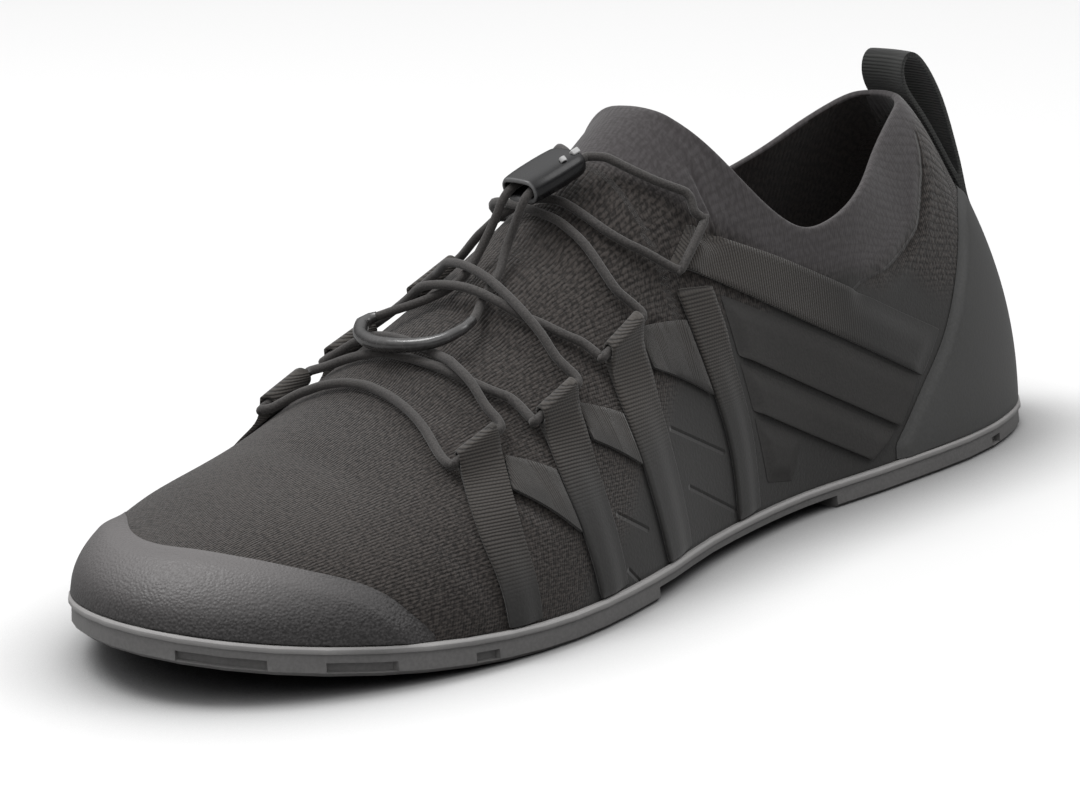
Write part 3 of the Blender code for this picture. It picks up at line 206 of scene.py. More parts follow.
# The sky is a soft box: dim at the horizon and bright overhead.
world = bpy.data.worlds.new("studio_air")
bpy.context.scene.world = world
world.use_nodes = True
sky = world.node_tree
upwards = split_axes(sky, add_node(sky, "ShaderNodeTexCoord").outputs["Generated"])[2]
glow = mix_numbers(sky, stretch(sky, upwards, 0.0, 1.0), SKY_AT_HORIZON, SKY_OVERHEAD)
feed(sky, sky.nodes["Background"], {"Color": (1.0, 1.0, 1.0), "Strength": glow})
bpy.context.scene.view_settings.view_transform = "Standard"


def soft_light(name, place, size, power):
    """An area light at a place, aimed at the shoe."""
    bpy.ops.object.light_add(type="AREA", location=place)
    lamp = bpy.context.object
    lamp.name = name
    lamp.data.shape = "DISK"
    lamp.data.size = size
    lamp.data.energy = power
    lamp.rotation_euler = (Vector(place) - AIM).to_track_quat("Z", "Y").to_euler()


soft_light("top_light", (0.50, -0.50, 1.50), 0.8, 12.0)
soft_light("front_light", (1.20, 0.70, 0.90), 0.9, 1.3)
soft_light("heel_light", (-0.80, 1.00, 1.25), 0.8, 3.4)
print("stage is ready")

# %% [markdown]
# ## The lace's own line
# A bought elastic cord is round and braided, and it lies on one smooth line. The
# frame holds it as a coarse tube: ring after ring of corners. Walking the tube
# from one end, ring by ring, gives its middle line, and a round curve on that
# line replaces it. That keeps the cord in its loops with no guessing.


# %% Read a tube's middle line
MERGE = 0.01 * MM


def middle_line(node, start, sides):
    """Centres of the rings of a tube, from the end nearest to a start point."""
    work = bmesh.new()
    work.from_mesh(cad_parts[node].data)
    bmesh.ops.remove_doubles(work, verts=work.verts, dist=MERGE)
    near = sorted(work.verts, key=lambda v: (v.co - Vector(start)).length)
    ring = set(near[:sides])
    seen = set(ring)
    centres = []
    while ring:
        centres.append(sum((v.co for v in ring), Vector()) / len(ring))
        following = set()
        for v in ring:
            following |= {e.other_vert(v) for e in v.link_edges} - seen
        seen |= following
        ring = following
    work.free()
    return centres


def flowing(points, steps):
    """A smooth line through points."""
    p = [2 * points[0] - points[1]] + list(points) + [2 * points[-1] - points[-2]]
    line = []
    for a, b, c, d in zip(p, p[1:], p[2:], p[3:]):
        for k in range(steps):
            t = k / steps
            line.append(0.5 * (2 * b + (c - a) * t + (2 * a - 5 * b + 4 * c - d) * t ** 2
                               + (3 * b - a - 3 * c + d) * t ** 3))
    line.append(points[-1])
    return line


def relaxed(line, passes, limit):
    """The same line with its small kinks eased, each point moved a little at most."""
    eased = list(line)
    for _ in range(passes):
        middle = [(a + 2 * b + c) / 4 for a, b, c in zip(eased, eased[1:], eased[2:])]
        eased = [eased[0]] + middle + [eased[-1]]
    moved = []
    for old, new in zip(line, eased):
        step = new - old
        moved.append(old + step * min(1.0, limit / max(step.length, 1e-9)))
    return moved


def length_of(line):
    """The length of a line of points."""
    return sum((b - a).length for a, b in zip(line, line[1:]))


CORD = 0.0021
LOCK_INSIDE = Vector((0.0098, 0.0, 0.0872))
MOUTH_SPREAD = 0.0032
LACE_SIDES = 6
END_SIDES = 8
EASE = 0.35 * MM
EASE_PASSES = 6
LINE_STEPS = 3
inner_start = LOCK_INSIDE + Vector((0, MOUTH_SPREAD, 0))
outer_start = LOCK_INSIDE - Vector((0, MOUTH_SPREAD, 0))


def cord_line(node, start, sides):
    """The smooth middle line of a frame node's tube."""
    line = flowing(relaxed(middle_line(node, start, sides), EASE_PASSES, EASE), LINE_STEPS)
    print(node, "points", len(line), "length", round(length_of(line) / MM, 1), "mm")
    return line


lace_line = cord_line("lace", inner_start, LACE_SIDES)
inner_end_line = cord_line("lace_end_medial", inner_start, END_SIDES)
outer_end_line = cord_line("lace_end_lateral", outer_start, END_SIDES)
sleeve_line = cord_line("end_sleeve", inner_end_line[-1], END_SIDES)


# %% Join both ends and the sleeve on one line
def close_to_end(line, reach):
    """How many points of a line lie within a reach of its last point."""
    count = 1
    while count < len(line) - 1 and length_of(line[-count - 1:]) < reach:
        count += 1
    return count


INTO_SLEEVE = 3
INNER_OVERLAP = 4 * MM
OUTER_OVERLAP = 2 * MM
CHAIN_PASSES = 10
CHAIN_EASE = 0.5 * MM
inner_over = close_to_end(inner_end_line, INNER_OVERLAP)
outer_over = close_to_end(outer_end_line, OUTER_OVERLAP)
inner_count = len(inner_end_line)
outer_count = len(outer_end_line)
chain = inner_end_line + sleeve_line[1:-1] + outer_end_line[::-1]
chain = relaxed(chain, CHAIN_PASSES, CHAIN_EASE)
inner_end_line = chain[:inner_count + INTO_SLEEVE]
outer_end_line = chain[-outer_count - INTO_SLEEVE:][::-1]
sleeve_path = chain[inner_count - inner_over:len(chain) - outer_count + outer_over]
print("sleeve with its drawn ends", round(length_of(sleeve_path) / MM, 1), "mm")


# %% Draw the cords
CORD_ROUNDNESS = 3


def cord_piece(name, line, diameter, smoothness):
    """A round cord on a line, as a curve of one open spline."""
    data = bpy.data.curves.new(name, "CURVE")
    data.dimensions = "3D"
    data.bevel_depth = diameter / 2
    data.bevel_resolution = smoothness
    data.use_fill_caps = True
    spline = data.splines.new("POLY")
    spline.points.add(len(line) - 1)
    for point, place in zip(spline.points, line):
        point.co = (*place, 1.0)
    spline.use_smooth = True
    piece = bpy.data.objects.new(name, data)
    bpy.context.scene.collection.objects.link(piece)
    return piece


lace = cord_piece("elastic_lace", lace_line, CORD, CORD_ROUNDNESS)
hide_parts("lace")
inner_end = cord_piece("lace_end_inner", inner_end_line, CORD, CORD_ROUNDNESS)
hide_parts("lace_end_medial")
outer_end = cord_piece("lace_end_outer", outer_end_line, CORD, CORD_ROUNDNESS)
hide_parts("lace_end_lateral")
print("cords drawn")

# %% [markdown]
# ## From a coarse solid to a soft form
# The knit, the webbing and the films are bent, thin and soft-edged. Each frame
# solid already has their true form in a few faces, so a copy of it is merged,
# turned into four-sided faces, given creases where it has a real edge, and
# subdivided. The result follows the frame and has no corners of its own.


# %% Helpers that copy and finish
QUAD_FLATNESS = math.radians(40)
QUAD_SHAPE = math.radians(60)
SHARP_FROM = math.radians(60)


def open_copy(node, name):
    """A merged copy of a frame node, open in edit mode with everything selected."""
    piece = bpy.data.objects.new(name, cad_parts[node].data.copy())
    piece.data.name = name
    bpy.context.scene.collection.objects.link(piece)
    bpy.ops.object.select_all(action="DESELECT")
    piece.select_set(True)
    bpy.context.view_layer.objects.active = piece
    bpy.ops.object.mode_set(mode="EDIT")
    bpy.ops.mesh.select_all(action="SELECT")
    bpy.ops.mesh.customdata_custom_splitnormals_clear()
    bpy.ops.mesh.remove_doubles(threshold=MERGE)
    return piece


def soft_copy(node, name, levels, edge_angle, crease):
    """A smooth, subdivided copy of a frame node, with its edges kept by creases."""
    piece = open_copy(node, name)
    bpy.ops.mesh.tris_convert_to_quads(face_threshold=QUAD_FLATNESS, shape_threshold=QUAD_SHAPE)
    bpy.ops.mesh.select_all(action="DESELECT")
    bpy.ops.mesh.select_mode(type="EDGE")
    bpy.ops.mesh.edges_select_sharp(sharpness=math.radians(edge_angle))
    bpy.ops.transform.edge_crease(value=crease)
    bpy.ops.mesh.select_all(action="SELECT")
    bpy.ops.mesh.faces_shade_smooth()
    bpy.ops.object.mode_set(mode="OBJECT")
    smooth = piece.modifiers.new("soft form", "SUBSURF")
    smooth.levels = levels
    smooth.render_levels = levels
    bpy.ops.object.modifier_apply(modifier=smooth.name)
    piece.data.set_sharp_from_angle(angle=SHARP_FROM)
    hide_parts(node)
    return piece


def finish_piece(piece, material):
    """Give a piece its material and slot, and let it ride on the shoe's body."""
    piece.data.materials.clear()
    piece.data.materials.append(material)
    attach(piece, "root")
    return piece


# %% [markdown]
# ## Surface coordinates for cloth
# A weave has to follow its strip, so each cloth piece gets a UV map in metres:
# one axis runs along the strip and the other across it. For a strap, the run is
# the length of its middle line, read off in steps along the strap's main
# direction. The same walk gives each point its share of the strap's length,
# which later fades the ribs out towards the sole, as the film does there.


# %% UV maps in metres
UV_NAME = "cloth"


def points_of(piece):
    """All points of a piece as an array."""
    co = np.zeros(len(piece.data.vertices) * 3)
    piece.data.vertices.foreach_get("co", co)
    return co.reshape(-1, 3)


def normals_of(piece):
    return np.array([v.normal for v in piece.data.vertices])


def move_points(piece, co):
    piece.data.vertices.foreach_set("co", co.ravel())
    piece.data.update()


def write_uv(piece, u, v):
    """Store two numbers for each corner of the mesh as a UV map."""
    layer = piece.data.uv_layers.new(name=UV_NAME)
    corner = np.zeros(len(piece.data.loops), int)
    piece.data.loops.foreach_get("vertex_index", corner)
    pairs = np.stack([u[corner], v[corner]], -1).astype(np.float32)
    layer.data.foreach_set("uv", pairs.ravel())


def write_share(piece, name, values):
    """Store one number for each point, for the shader to read by name."""
    layer = piece.data.attributes.new(name, "FLOAT", "POINT")
    layer.data.foreach_set("value", np.asarray(values, np.float32))


def ramp(values, start, end):
    """0 before start, 1 after end and a soft rise between."""
    t = np.clip((values - start) / (end - start), 0, 1)
    return t * t * (3 - 2 * t)


def strap_map(piece, axis, bins=24):
    """UV map of a strap that runs along an axis. Returns each point's share of the
    run from its low end and its place across, from -1 to 1."""
    co = points_of(piece)
    edges = np.linspace(co[:, axis].min(), co[:, axis].max(), bins + 1)
    middles, stops, halves = [], [], []
    wide = 0 if axis == 2 else 2
    for a, b in zip(edges, edges[1:]):
        inside = (co[:, axis] >= a) & (co[:, axis] <= b)
        if inside.any():
            part = co[inside]
            middles.append((part.max(0) + part.min(0)) / 2)
            stops.append(part[:, axis].mean())
            halves.append((part[:, wide].max() - part[:, wide].min()) / 2)
    middles = np.array(middles)
    steps = np.linalg.norm(np.diff(middles, axis=0), axis=1)
    run = np.concatenate([[0], np.cumsum(steps)])
    along = np.interp(co[:, axis], stops, run)
    centre = np.interp(co[:, axis], stops, middles[:, wide])
    across = co[:, wide] - centre
    write_uv(piece, across, along)
    return along / run[-1], across / np.interp(co[:, axis], stops, halves)


# %% [markdown]
# ## Shared shader parts
# Several finishes share an effect, so each effect is one node group: a knit with
# ribs and specks, a ribbed weave, a fine grain and a stitched line. A group gives
# a mask and a height, and each material mixes its own colours with them.


# %% Groups and their sockets
def new_group(name, inputs, outputs):
    """An empty shader node group with named sockets."""
    group = bpy.data.node_groups.new(name, "ShaderNodeTree")
    for label, kind, value in inputs:
        socket = group.interface.new_socket(name=label, in_out="INPUT", socket_type=kind)
        if value is not None:
            socket.default_value = value
    for label in outputs:
        group.interface.new_socket(name=label, in_out="OUTPUT", socket_type="NodeSocketFloat")
    return group, group.nodes.new("NodeGroupInput"), group.nodes.new("NodeGroupOutput")


NUMBER = "NodeSocketFloat"


def new_strip_group(name):
    """A group for a strip of cloth, with both of its directions counted in pitches."""
    group, start, end = new_group(
        name, [("Across", NUMBER, None), ("Along", NUMBER, None), ("Pitch", NUMBER, 1 * MM)],
        ("Height", "Mask"))
    across, along = [maths(group, "DIVIDE", start.outputs[way], start.outputs["Pitch"])
                     for way in ("Across", "Along")]
    return group, start, end, across, along


# %% Weave group: ribs across a strip, yarns along it
RIB_WEIGHT = 0.85
YARN_WEIGHT = 0.15
WEAVE_CONTRAST = 1.5


def make_weave_group():
    group, _, end, across, along = new_strip_group("ribbed_weave")
    half_steps = maths(group, "MULTIPLY", maths(group, "FLOOR", along), 0.5)
    rib = wave(group, along, 1.0)
    yarn = wave(group, maths(group, "ADD", across, half_steps), 1.0)
    height = weighed(group, (rib, RIB_WEIGHT), (yarn, YARN_WEIGHT))
    mask = maths(group, "POWER", height, WEAVE_CONTRAST)
    feed(group, end, {"Height": height, "Mask": mask})
    return group


# %% Knit group: fine wales with specks of mixed yarn
SPECK_STRETCH = 0.55
SPECK_SCALE = 1900.0
SPECK_SPAN = (0.34, 0.68)
WAVER = 0.8
WAVER_SCALE = 240.0
STITCH_PITCH = 0.85
WALE_WEIGHT = 0.5
STITCH_WEIGHT = 0.2
SPECK_WEIGHT = 0.9
WALE_TONE = 0.45


def make_knit_group():
    group, start, end, across, along = new_strip_group("mixed_yarn_knit")
    place = add_node(group, "ShaderNodeCombineXYZ")
    long_way = maths(group, "MULTIPLY", start.outputs["Along"], SPECK_STRETCH)
    feed(group, place, {0: start.outputs["Across"], 1: long_way})
    waver = maths(group, "MULTIPLY", noise(group, place.outputs[0], WAVER_SCALE), WAVER)
    wale = wave(group, maths(group, "ADD", across, waver), 1.0)
    stitch = wave(group, along, STITCH_PITCH)
    speck = noise(group, place.outputs[0], SPECK_SCALE, 1.0)
    height = weighed(group, (wale, WALE_WEIGHT), (stitch, STITCH_WEIGHT), (speck, SPECK_WEIGHT))
    tone = maths(group, "ADD", wale, WALE_TONE)
    mask = maths(group, "MULTIPLY", stretch(group, speck, *SPECK_SPAN), tone)
    feed(group, end, {"Height": height, "Mask": mask})
    return group


# %% Grain group: small bumps of moulded rubber, film and plastic
GRAIN_SMOOTHNESS = 0.6
GRAIN_SPAN = (0.36, 0.66)
WEAR_SCALE = 45.0


def make_grain_group():
    group, start, end = new_group(
        "fine_grain", [("Scale", NUMBER, 800.0)], ("Height", "Mask", "Cloud"))
    place = object_place(group)
    scale = start.outputs["Scale"]
    cells = add_node(
        group, "ShaderNodeTexVoronoi",
        {"Vector": place, "Scale": scale, "Smoothness": GRAIN_SMOOTHNESS}, feature="SMOOTH_F1")
    speck = noise(group, place, scale, 1.0)
    feed(group, end, {"Height": maths(group, "SUBTRACT", 1.0, cells.outputs["Distance"]),
                      "Mask": stretch(group, speck, *GRAIN_SPAN),
                      "Cloud": noise(group, place, WEAR_SCALE, 3.0)})
    return group


# %% Line group: a stitched or pressed line between two points, seen from the side
def make_line_group():
    group, start, end = new_group(
        "side_line",
        [("Start", "NodeSocketVector", None), ("End", "NodeSocketVector", None),
         ("Width", NUMBER, 0.6 * MM)],
        ("Mask",))

    def vector(operation, first, second):
        return add_node(group, "ShaderNodeVectorMath", {0: first, 1: second}, operation=operation)

    from_side = vector("MULTIPLY", object_place(group), (1.0, 0.0, 1.0)).outputs[0]
    reach = vector("SUBTRACT", start.outputs["End"], start.outputs["Start"]).outputs[0]
    rel = vector("SUBTRACT", from_side, start.outputs["Start"]).outputs[0]
    share = maths(group, "DIVIDE", vector("DOT_PRODUCT", rel, reach).outputs["Value"],
                  vector("DOT_PRODUCT", reach, reach).outputs["Value"], clamp=True)
    foot = add_node(group, "ShaderNodeVectorMath", {0: reach, "Scale": share}, operation="SCALE")
    away = vector("DISTANCE", rel, foot.outputs[0]).outputs["Value"]
    widths = maths(group, "DIVIDE", away, start.outputs["Width"])
    feed(group, end, {"Mask": maths(group, "SUBTRACT", 1.0, widths, clamp=True)})
    return group


weave_group = make_weave_group()
knit_group = make_knit_group()
grain_group = make_grain_group()
line_group = make_line_group()
print("node groups", sorted(g.name for g in bpy.data.node_groups))


# %% Cloth materials
CLOTH_ROUGHNESS = 0.9
CLOTH_BUMP = 0.35 * MM
CLOUD_SCALE = 34.0
# The collar and the tongue are a lighter, finer knit: its dark and light yarn
COLLAR_YARN = ((0.052, 0.047, 0.048), (0.070, 0.064, 0.066))
COLLAR_FLATNESS = 0.7
COLLAR_HEIGHT = 0.7
# The smooth film over the cloth: its colour and finish
FILM = (0.0285, 0.0275, 0.0265)
FILM_ROUGHNESS = 0.62
FILM_GRAIN_SCALE = 1400.0
FILM_GRAIN = 0.25
FILM_TONES = (0.75, 1.2)
# A dark seam, and painted shadow lines under film edges, all drawn as pressed lines
SEAM_AND_SHADOW_LINE_COLOR = (0.012, 0.011, 0.010)
LINE_DARKNESS = 0.55
LINE_DEPTH = 2.2


def cloudy(tree, amount):
    """Slow changes of tone over the surface, about 0."""
    cloud = noise(tree, object_place(tree), CLOUD_SCALE, 3.0)
    return maths(tree, "MULTIPLY", maths(tree, "SUBTRACT", cloud, 0.5), amount)


def read_share(tree, name):
    """The point value that write_share stored."""
    return add_node(tree, "ShaderNodeAttribute", attribute_name=name).outputs["Fac"]


def film_over(tree, color, height):
    """A smooth film covers the cloth where the point value film_share rises."""
    share = read_share(tree, "film_share")
    fine = noise(tree, object_place(tree), FILM_GRAIN_SCALE, 1.0)
    tone = maths(tree, "ADD", cloudy(tree, 1.2), fine, clamp=True)
    dark, light = [tuple(tone_share * c for c in FILM) for tone_share in FILM_TONES]
    color = mix_colors(tree, share, color, mix_colors(tree, tone, dark, light))
    height = mix_numbers(tree, share, height, maths(tree, "MULTIPLY", fine, FILM_GRAIN))
    return color, height, mix_numbers(tree, share, CLOTH_ROUGHNESS, FILM_ROUGHNESS)


def lines_over(tree, color, height, lines):
    """Dark, pressed lines on the cloth: a dark seam, and painted shadow lines under film edges.
    """
    drawn = 0.0
    for a, b, width in lines:
        ends = {"Start": (a[0], 0.0, a[1]), "End": (b[0], 0.0, b[1]), "Width": width}
        line = add_node(tree, "ShaderNodeGroup", ends, node_tree=line_group)
        drawn = maths(tree, "MAXIMUM", drawn, line.outputs["Mask"])
    color = mix_colors(tree, maths(tree, "MULTIPLY", drawn, LINE_DARKNESS), color, SEAM_AND_SHADOW_LINE_COLOR)
    return color, maths(tree, "SUBTRACT", height, maths(tree, "MULTIPLY", drawn, LINE_DEPTH))


def cloth_material(name, group, dark, light, strength, pitch, filmed=False, lines=()):
    """A cloth finish of two yarns. With lines it is the sock's, with its finer collar."""
    material, tree, shader = plain_material(name, light, CLOTH_ROUGHNESS)
    uv = split_axes(tree, add_node(tree, "ShaderNodeUVMap", uv_map=UV_NAME).outputs[0])
    strip = {"Across": uv[0], "Along": uv[1], "Pitch": pitch}
    effect = add_node(tree, "ShaderNodeGroup", strip, node_tree=group)
    mask = maths(tree, "ADD", effect.outputs["Mask"], cloudy(tree, 0.9), clamp=True)
    height = effect.outputs["Height"]
    color = mix_colors(tree, mask, dark, light)
    if lines:
        fine = read_share(tree, "fine_share")
        flatter = maths(tree, "MULTIPLY", fine, COLLAR_FLATNESS)
        height = mix_numbers(tree, flatter, height, COLLAR_HEIGHT)
        color = mix_colors(tree, fine, color, mix_colors(tree, mask, *COLLAR_YARN))
    if filmed:
        color, height, rough = film_over(tree, color, height)
        feed(tree, shader, {"Roughness": rough})
    if lines:
        color, height = lines_over(tree, color, height, lines)
    feed(tree, shader, {
        "Base Color": color, "Normal": bumped(tree, height, strength, CLOTH_BUMP),
        "Sheen Weight": 0.25, "Sheen Roughness": 0.5, "Specular IOR Level": 0.25})
    return material


# The padded collar ends in a seam that drops from the heel and runs forward.
COLLAR_SEAM = ((-0.0985, 0.0790), (-0.0965, 0.0705), (-0.0930, 0.0640), (-0.0885, 0.0582),
               (-0.0813, 0.0542), (-0.0735, 0.0519), (-0.0620, 0.0505), (-0.0560, 0.0480))
COLLAR_LINE = 0.8 * MM
# Low on the sides, painted shadow lines show under the edges of the film layers.
LOW_LINES = (((0.0385, 0.0215), (0.0293, 0.0158)), ((0.0120, 0.0330), (-0.0063, 0.0232)),
             ((0.0091, 0.0194), (-0.0086, 0.0093)), ((0.0385, 0.0095), (0.0350, 0.0061)))
LOW_LINE = 0.7 * MM
sock_lines = [(a, b, COLLAR_LINE) for a, b in zip(COLLAR_SEAM, COLLAR_SEAM[1:])]
sock_lines += [(a, b, LOW_LINE) for a, b in LOW_LINES]
knit = cloth_material(
    "mixed_yarn_knit_sock", knit_group, dark=(0.0155, 0.013, 0.0118),
    light=(0.053, 0.0455, 0.0415), strength=0.75, pitch=0.75 * MM, filmed=True, lines=sock_lines)
liner = cloth_material(
    "inner_liner", knit_group, dark=(0.010, 0.007, 0.0065), light=(0.026, 0.019, 0.017),
    strength=0.4, pitch=1.4 * MM)
webbing = cloth_material(
    "woven_webbing", weave_group, dark=(0.017, 0.015, 0.0137), light=(0.071, 0.064, 0.058),
    strength=0.6, pitch=0.82 * MM, filmed=True)
dark_webbing = cloth_material(
    "dark_webbing", weave_group, dark=(0.014, 0.0145, 0.0138), light=(0.040, 0.041, 0.039),
    strength=0.5, pitch=0.9 * MM)


# %% Moulded materials
MOULD_BUMP = 0.25 * MM
TREAD_PITCH = 2.6 * MM
WEAR_ROUGHNESS = 0.16


def tread_over(tree, height, amount):
    """Rows of small blocks where the point value tread_share rises."""
    place = split_axes(tree, object_place(tree))
    blocks = maths(tree, "MULTIPLY", wave(tree, place[0], TREAD_PITCH),
                   wave(tree, place[1], TREAD_PITCH))
    blocks = maths(tree, "MULTIPLY", blocks, read_share(tree, "tread_share"))
    return maths(tree, "ADD", height, maths(tree, "MULTIPLY", blocks, amount))


def moulded_material(name, dark, light, roughness, scale, strength, speckle=0.3,
                     specular=0.4, highlight_color=None, tread=0.0):
    """A rubber, film or plastic finish with a fine grain, specks and cloudy wear."""
    material, tree, shader = plain_material(name, light, roughness)
    effect = add_node(tree, "ShaderNodeGroup", {"Scale": scale}, node_tree=grain_group)
    specks = maths(tree, "MULTIPLY", effect.outputs["Mask"], speckle)
    clouds = maths(tree, "MULTIPLY", effect.outputs["Cloud"], 1.0 - speckle)
    mask = maths(tree, "ADD", specks, clouds, clamp=True)
    color = mix_colors(tree, mask, dark, light)
    # Where its point value rises, a painted highlight lightens the colour.
    if highlight_color:
        color = mix_colors(tree, read_share(tree, "highlight_share"), color, highlight_color)
    rough = maths(tree, "ADD", maths(tree, "MULTIPLY", mask, WEAR_ROUGHNESS),
                  roughness - WEAR_ROUGHNESS / 2)
    height = effect.outputs["Height"]
    if tread:
        height = tread_over(tree, height, tread)
    feed(tree, shader, {
        "Base Color": color, "Roughness": rough, "Specular IOR Level": specular,
        "Normal": bumped(tree, height, strength, MOULD_BUMP)})
    return material


film = moulded_material(
    "side_film", dark=(0.0290, 0.0280, 0.0270), light=(0.0530, 0.0508, 0.0492),
    roughness=0.62, scale=1500.0, strength=0.15)
# Its highlight colour is a painted highlight on the cap's shoulder.
cap_rubber = moulded_material(
    "pebbled_toe_rubber", dark=(0.026, 0.0246, 0.0246), light=(0.063, 0.0598, 0.0598),
    roughness=0.48, scale=1700.0, strength=0.70, speckle=0.70, highlight_color=(0.150, 0.142, 0.142))
counter_film = moulded_material(
    "heel_film", dark=(0.060, 0.060, 0.059), light=(0.088, 0.088, 0.087),
    roughness=0.48, scale=1400.0, strength=0.12)
# Its highlight colour is a painted highlight on the rim's lip.
sole_rubber = moulded_material(
    "sole_rubber", dark=(0.153, 0.150, 0.149), light=(0.226, 0.221, 0.218),
    roughness=0.46, scale=1300.0, strength=0.12, highlight_color=(0.350, 0.342, 0.338), tread=9.0)
# Its highlight colour is a painted highlight on the lips round the mouth.
lock_plastic = moulded_material(
    "lock_plastic", dark=(0.006, 0.006, 0.007), light=(0.014, 0.014, 0.015), roughness=0.26,
    scale=600.0, strength=0.04, speckle=0.2, specular=0.45, highlight_color=(0.230, 0.230, 0.232))
# Light plastic: a painted glint on the spring pin, and the own light grey of the tongue tip.
light_part_and_glint_plastic = moulded_material(
    "light_part_and_glint_plastic", dark=(0.42, 0.42, 0.42), light=(0.62, 0.62, 0.62), roughness=0.28,
    scale=600.0, strength=0.04, speckle=0.2, specular=0.6)
sleeve_plastic = moulded_material(
    "sleeve_plastic", dark=(0.022, 0.021, 0.021), light=(0.060, 0.058, 0.058), roughness=0.24,
    scale=700.0, strength=0.12, speckle=0.4, specular=0.9)
print("materials", len(bpy.data.materials))


# %% Finish the cords
BRAID_SCALE = 2400.0
BRAID_BUMP = 0.15 * MM


def cord_material(name, dark, light):
    """Braided cover of the elastic cord: small cells of yarn on a round cord."""
    material, tree, shader = plain_material(name, light, 0.8)
    inputs = {"Vector": object_place(tree), "Scale": BRAID_SCALE}
    away = add_node(tree, "ShaderNodeTexVoronoi", inputs).outputs["Distance"]
    feed(tree, shader, {
        "Base Color": mix_colors(tree, away, light, dark),
        "Normal": bumped(tree, away, 0.3, BRAID_BUMP), "Sheen Weight": 0.2})
    return material


braid = cord_material("braided_cord", (0.020, 0.018, 0.017), (0.066, 0.060, 0.057))
for piece in (lace, inner_end, outer_end):
    finish_piece(piece, braid)

# Both ends of the sleeve are drawn thin, the inner one over a longer way, so that
# they close on the cord.
SLEEVE = 0.0034
SLEEVE_ROUNDNESS = 4
SLEEVE_END = 0.70
OUTER_TAPER = 4 * MM
sleeve = cord_piece("end_sleeve_tube", sleeve_path, SLEEVE, SLEEVE_ROUNDNESS)
whole = length_of(sleeve_path)
for k, point in enumerate(sleeve.data.splines[0].points):
    run = length_of(sleeve_path[:k + 1])
    fullness = float(ramp(min(run / (0.5 * whole), (whole - run) / OUTER_TAPER), 0, 1))
    point.radius = SLEEVE_END + (1 - SLEEVE_END) * fullness
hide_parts("end_sleeve")
finish_piece(sleeve, sleeve_plastic)
print("cords finished")

# %% [markdown]
# ## The knit sock
# The sock is one knit tube pulled over the last. Its form comes from the frame,
# and the soft creases of a worn-in knit are pressed in: shallow troughs
# along short lines, deepest at the line and fading to both sides, with a low
# ridge next to each, where the cloth gives way.

# %% Sock form
sock = soft_copy("upper", "knit_sock", 3, 55, 0.35)
print("sock faces", len(sock.data.polygons))

# Creases seen from the side: start x and z, end x and z, depth and half width
SIDE_CREASES = (
    (-0.0965, 0.0705, -0.0885, 0.0582, 0.8, 1.6),
    (-0.0885, 0.0582, -0.0735, 0.0519, 0.9, 1.6),
    (-0.0735, 0.0519, -0.0560, 0.0500, 0.6, 1.8),
    (-0.0250, 0.0660, -0.0080, 0.0720, 0.5, 2.2),
    (0.0400, 0.0400, 0.0300, 0.0340, 0.5, 1.6),
    (0.0120, 0.0560, 0.0020, 0.0500, 0.5, 1.6),
    (0.0660, 0.0330, 0.0560, 0.0240, 0.5, 1.8),
    (-0.0600, 0.0400, -0.0300, 0.0520, 0.4, 2.4),
    (0.0830, 0.0250, 0.0780, 0.0120, 0.4, 2.2),
)
# Creases seen from above: start x and y, end x and y, depth and half width
TOP_CREASES = (
    (0.0640, 0.0160, 0.0600, -0.0120, 0.5, 2.4),
    (0.0420, 0.0170, 0.0390, -0.0140, 0.5, 2.4),
    (0.0880, 0.0240, 0.0860, -0.0200, 0.4, 3.2),
    (0.0210, 0.0150, 0.0200, -0.0130, 0.4, 2.2),
)


# A crease fades out to its ends, and a low ridge lies beside it, in half widths.
END_DEPTH = 0.12
RIDGE_HEIGHT = 0.35
RIDGE_AWAY = 2.2


def press(co, facing, plane, lines):
    """How far each point sinks or rises for a set of pressed lines."""
    shift = np.zeros(len(co))
    for ax, ay, bx, by, depth, width in lines:
        along = np.array([bx - ax, by - ay])
        size = np.linalg.norm(along)
        rel = co[:, plane] - (ax, ay)
        t = np.clip(rel @ along / size ** 2, 0, 1)
        away = np.linalg.norm(rel - t[:, None] * along, axis=1) / (width * MM)
        fade = np.sin(math.pi * (END_DEPTH + (1 - 2 * END_DEPTH) * t))
        form = np.exp(-away ** 2) - RIDGE_HEIGHT * np.exp(-(away - RIDGE_AWAY) ** 2)
        shift -= np.where(facing, depth * MM * fade * form, 0)
    return shift


FACES_SIDE = 0.25
FACES_UP = 0.3
co = points_of(sock)
normals = normals_of(sock)
upward = normals[:, 2] >= FACES_UP
shift = press(co, np.abs(normals[:, 1]) > FACES_SIDE, [0, 2], SIDE_CREASES)
shift += press(co, normals[:, 2] > FACES_UP, [0, 1], TOP_CREASES)
inner_face = co[:, 1] * normals[:, 1] < 0
shift[inner_face & ~upward] = 0
co += normals * shift[:, None]
print("deepest crease", round(float(-shift.min()) / MM, 2), "mm")

# The collar is pulled up a little at the heel, under the pull loop.
HEEL_PULL = 3.3 * MM
HEEL_PULL_BACK = (0.070, 0.106)
HEEL_PULL_UP = (0.062, 0.084)
co[:, 2] += HEEL_PULL * ramp(-co[:, 0], *HEEL_PULL_BACK) * ramp(co[:, 2], *HEEL_PULL_UP)
move_points(sock, co)

# %% [markdown]
# ## Where film covers the knit
# Low on both sides a smooth film is bonded over the knit, from the second strap
# back to the heel. It ends in a soft border that drops towards the toe, so a
# point value tells the shader how much film lies there.

# %% Sock UV map, film share and materials
FILM_BORDER_X = (-0.1200, -0.0850, -0.0500, -0.0150, 0.0100, 0.0300, 0.0480, 0.0620)
FILM_BORDER_Z = (0.0300, 0.0500, 0.0560, 0.0520, 0.0400, 0.0260, 0.0150, 0.0040)
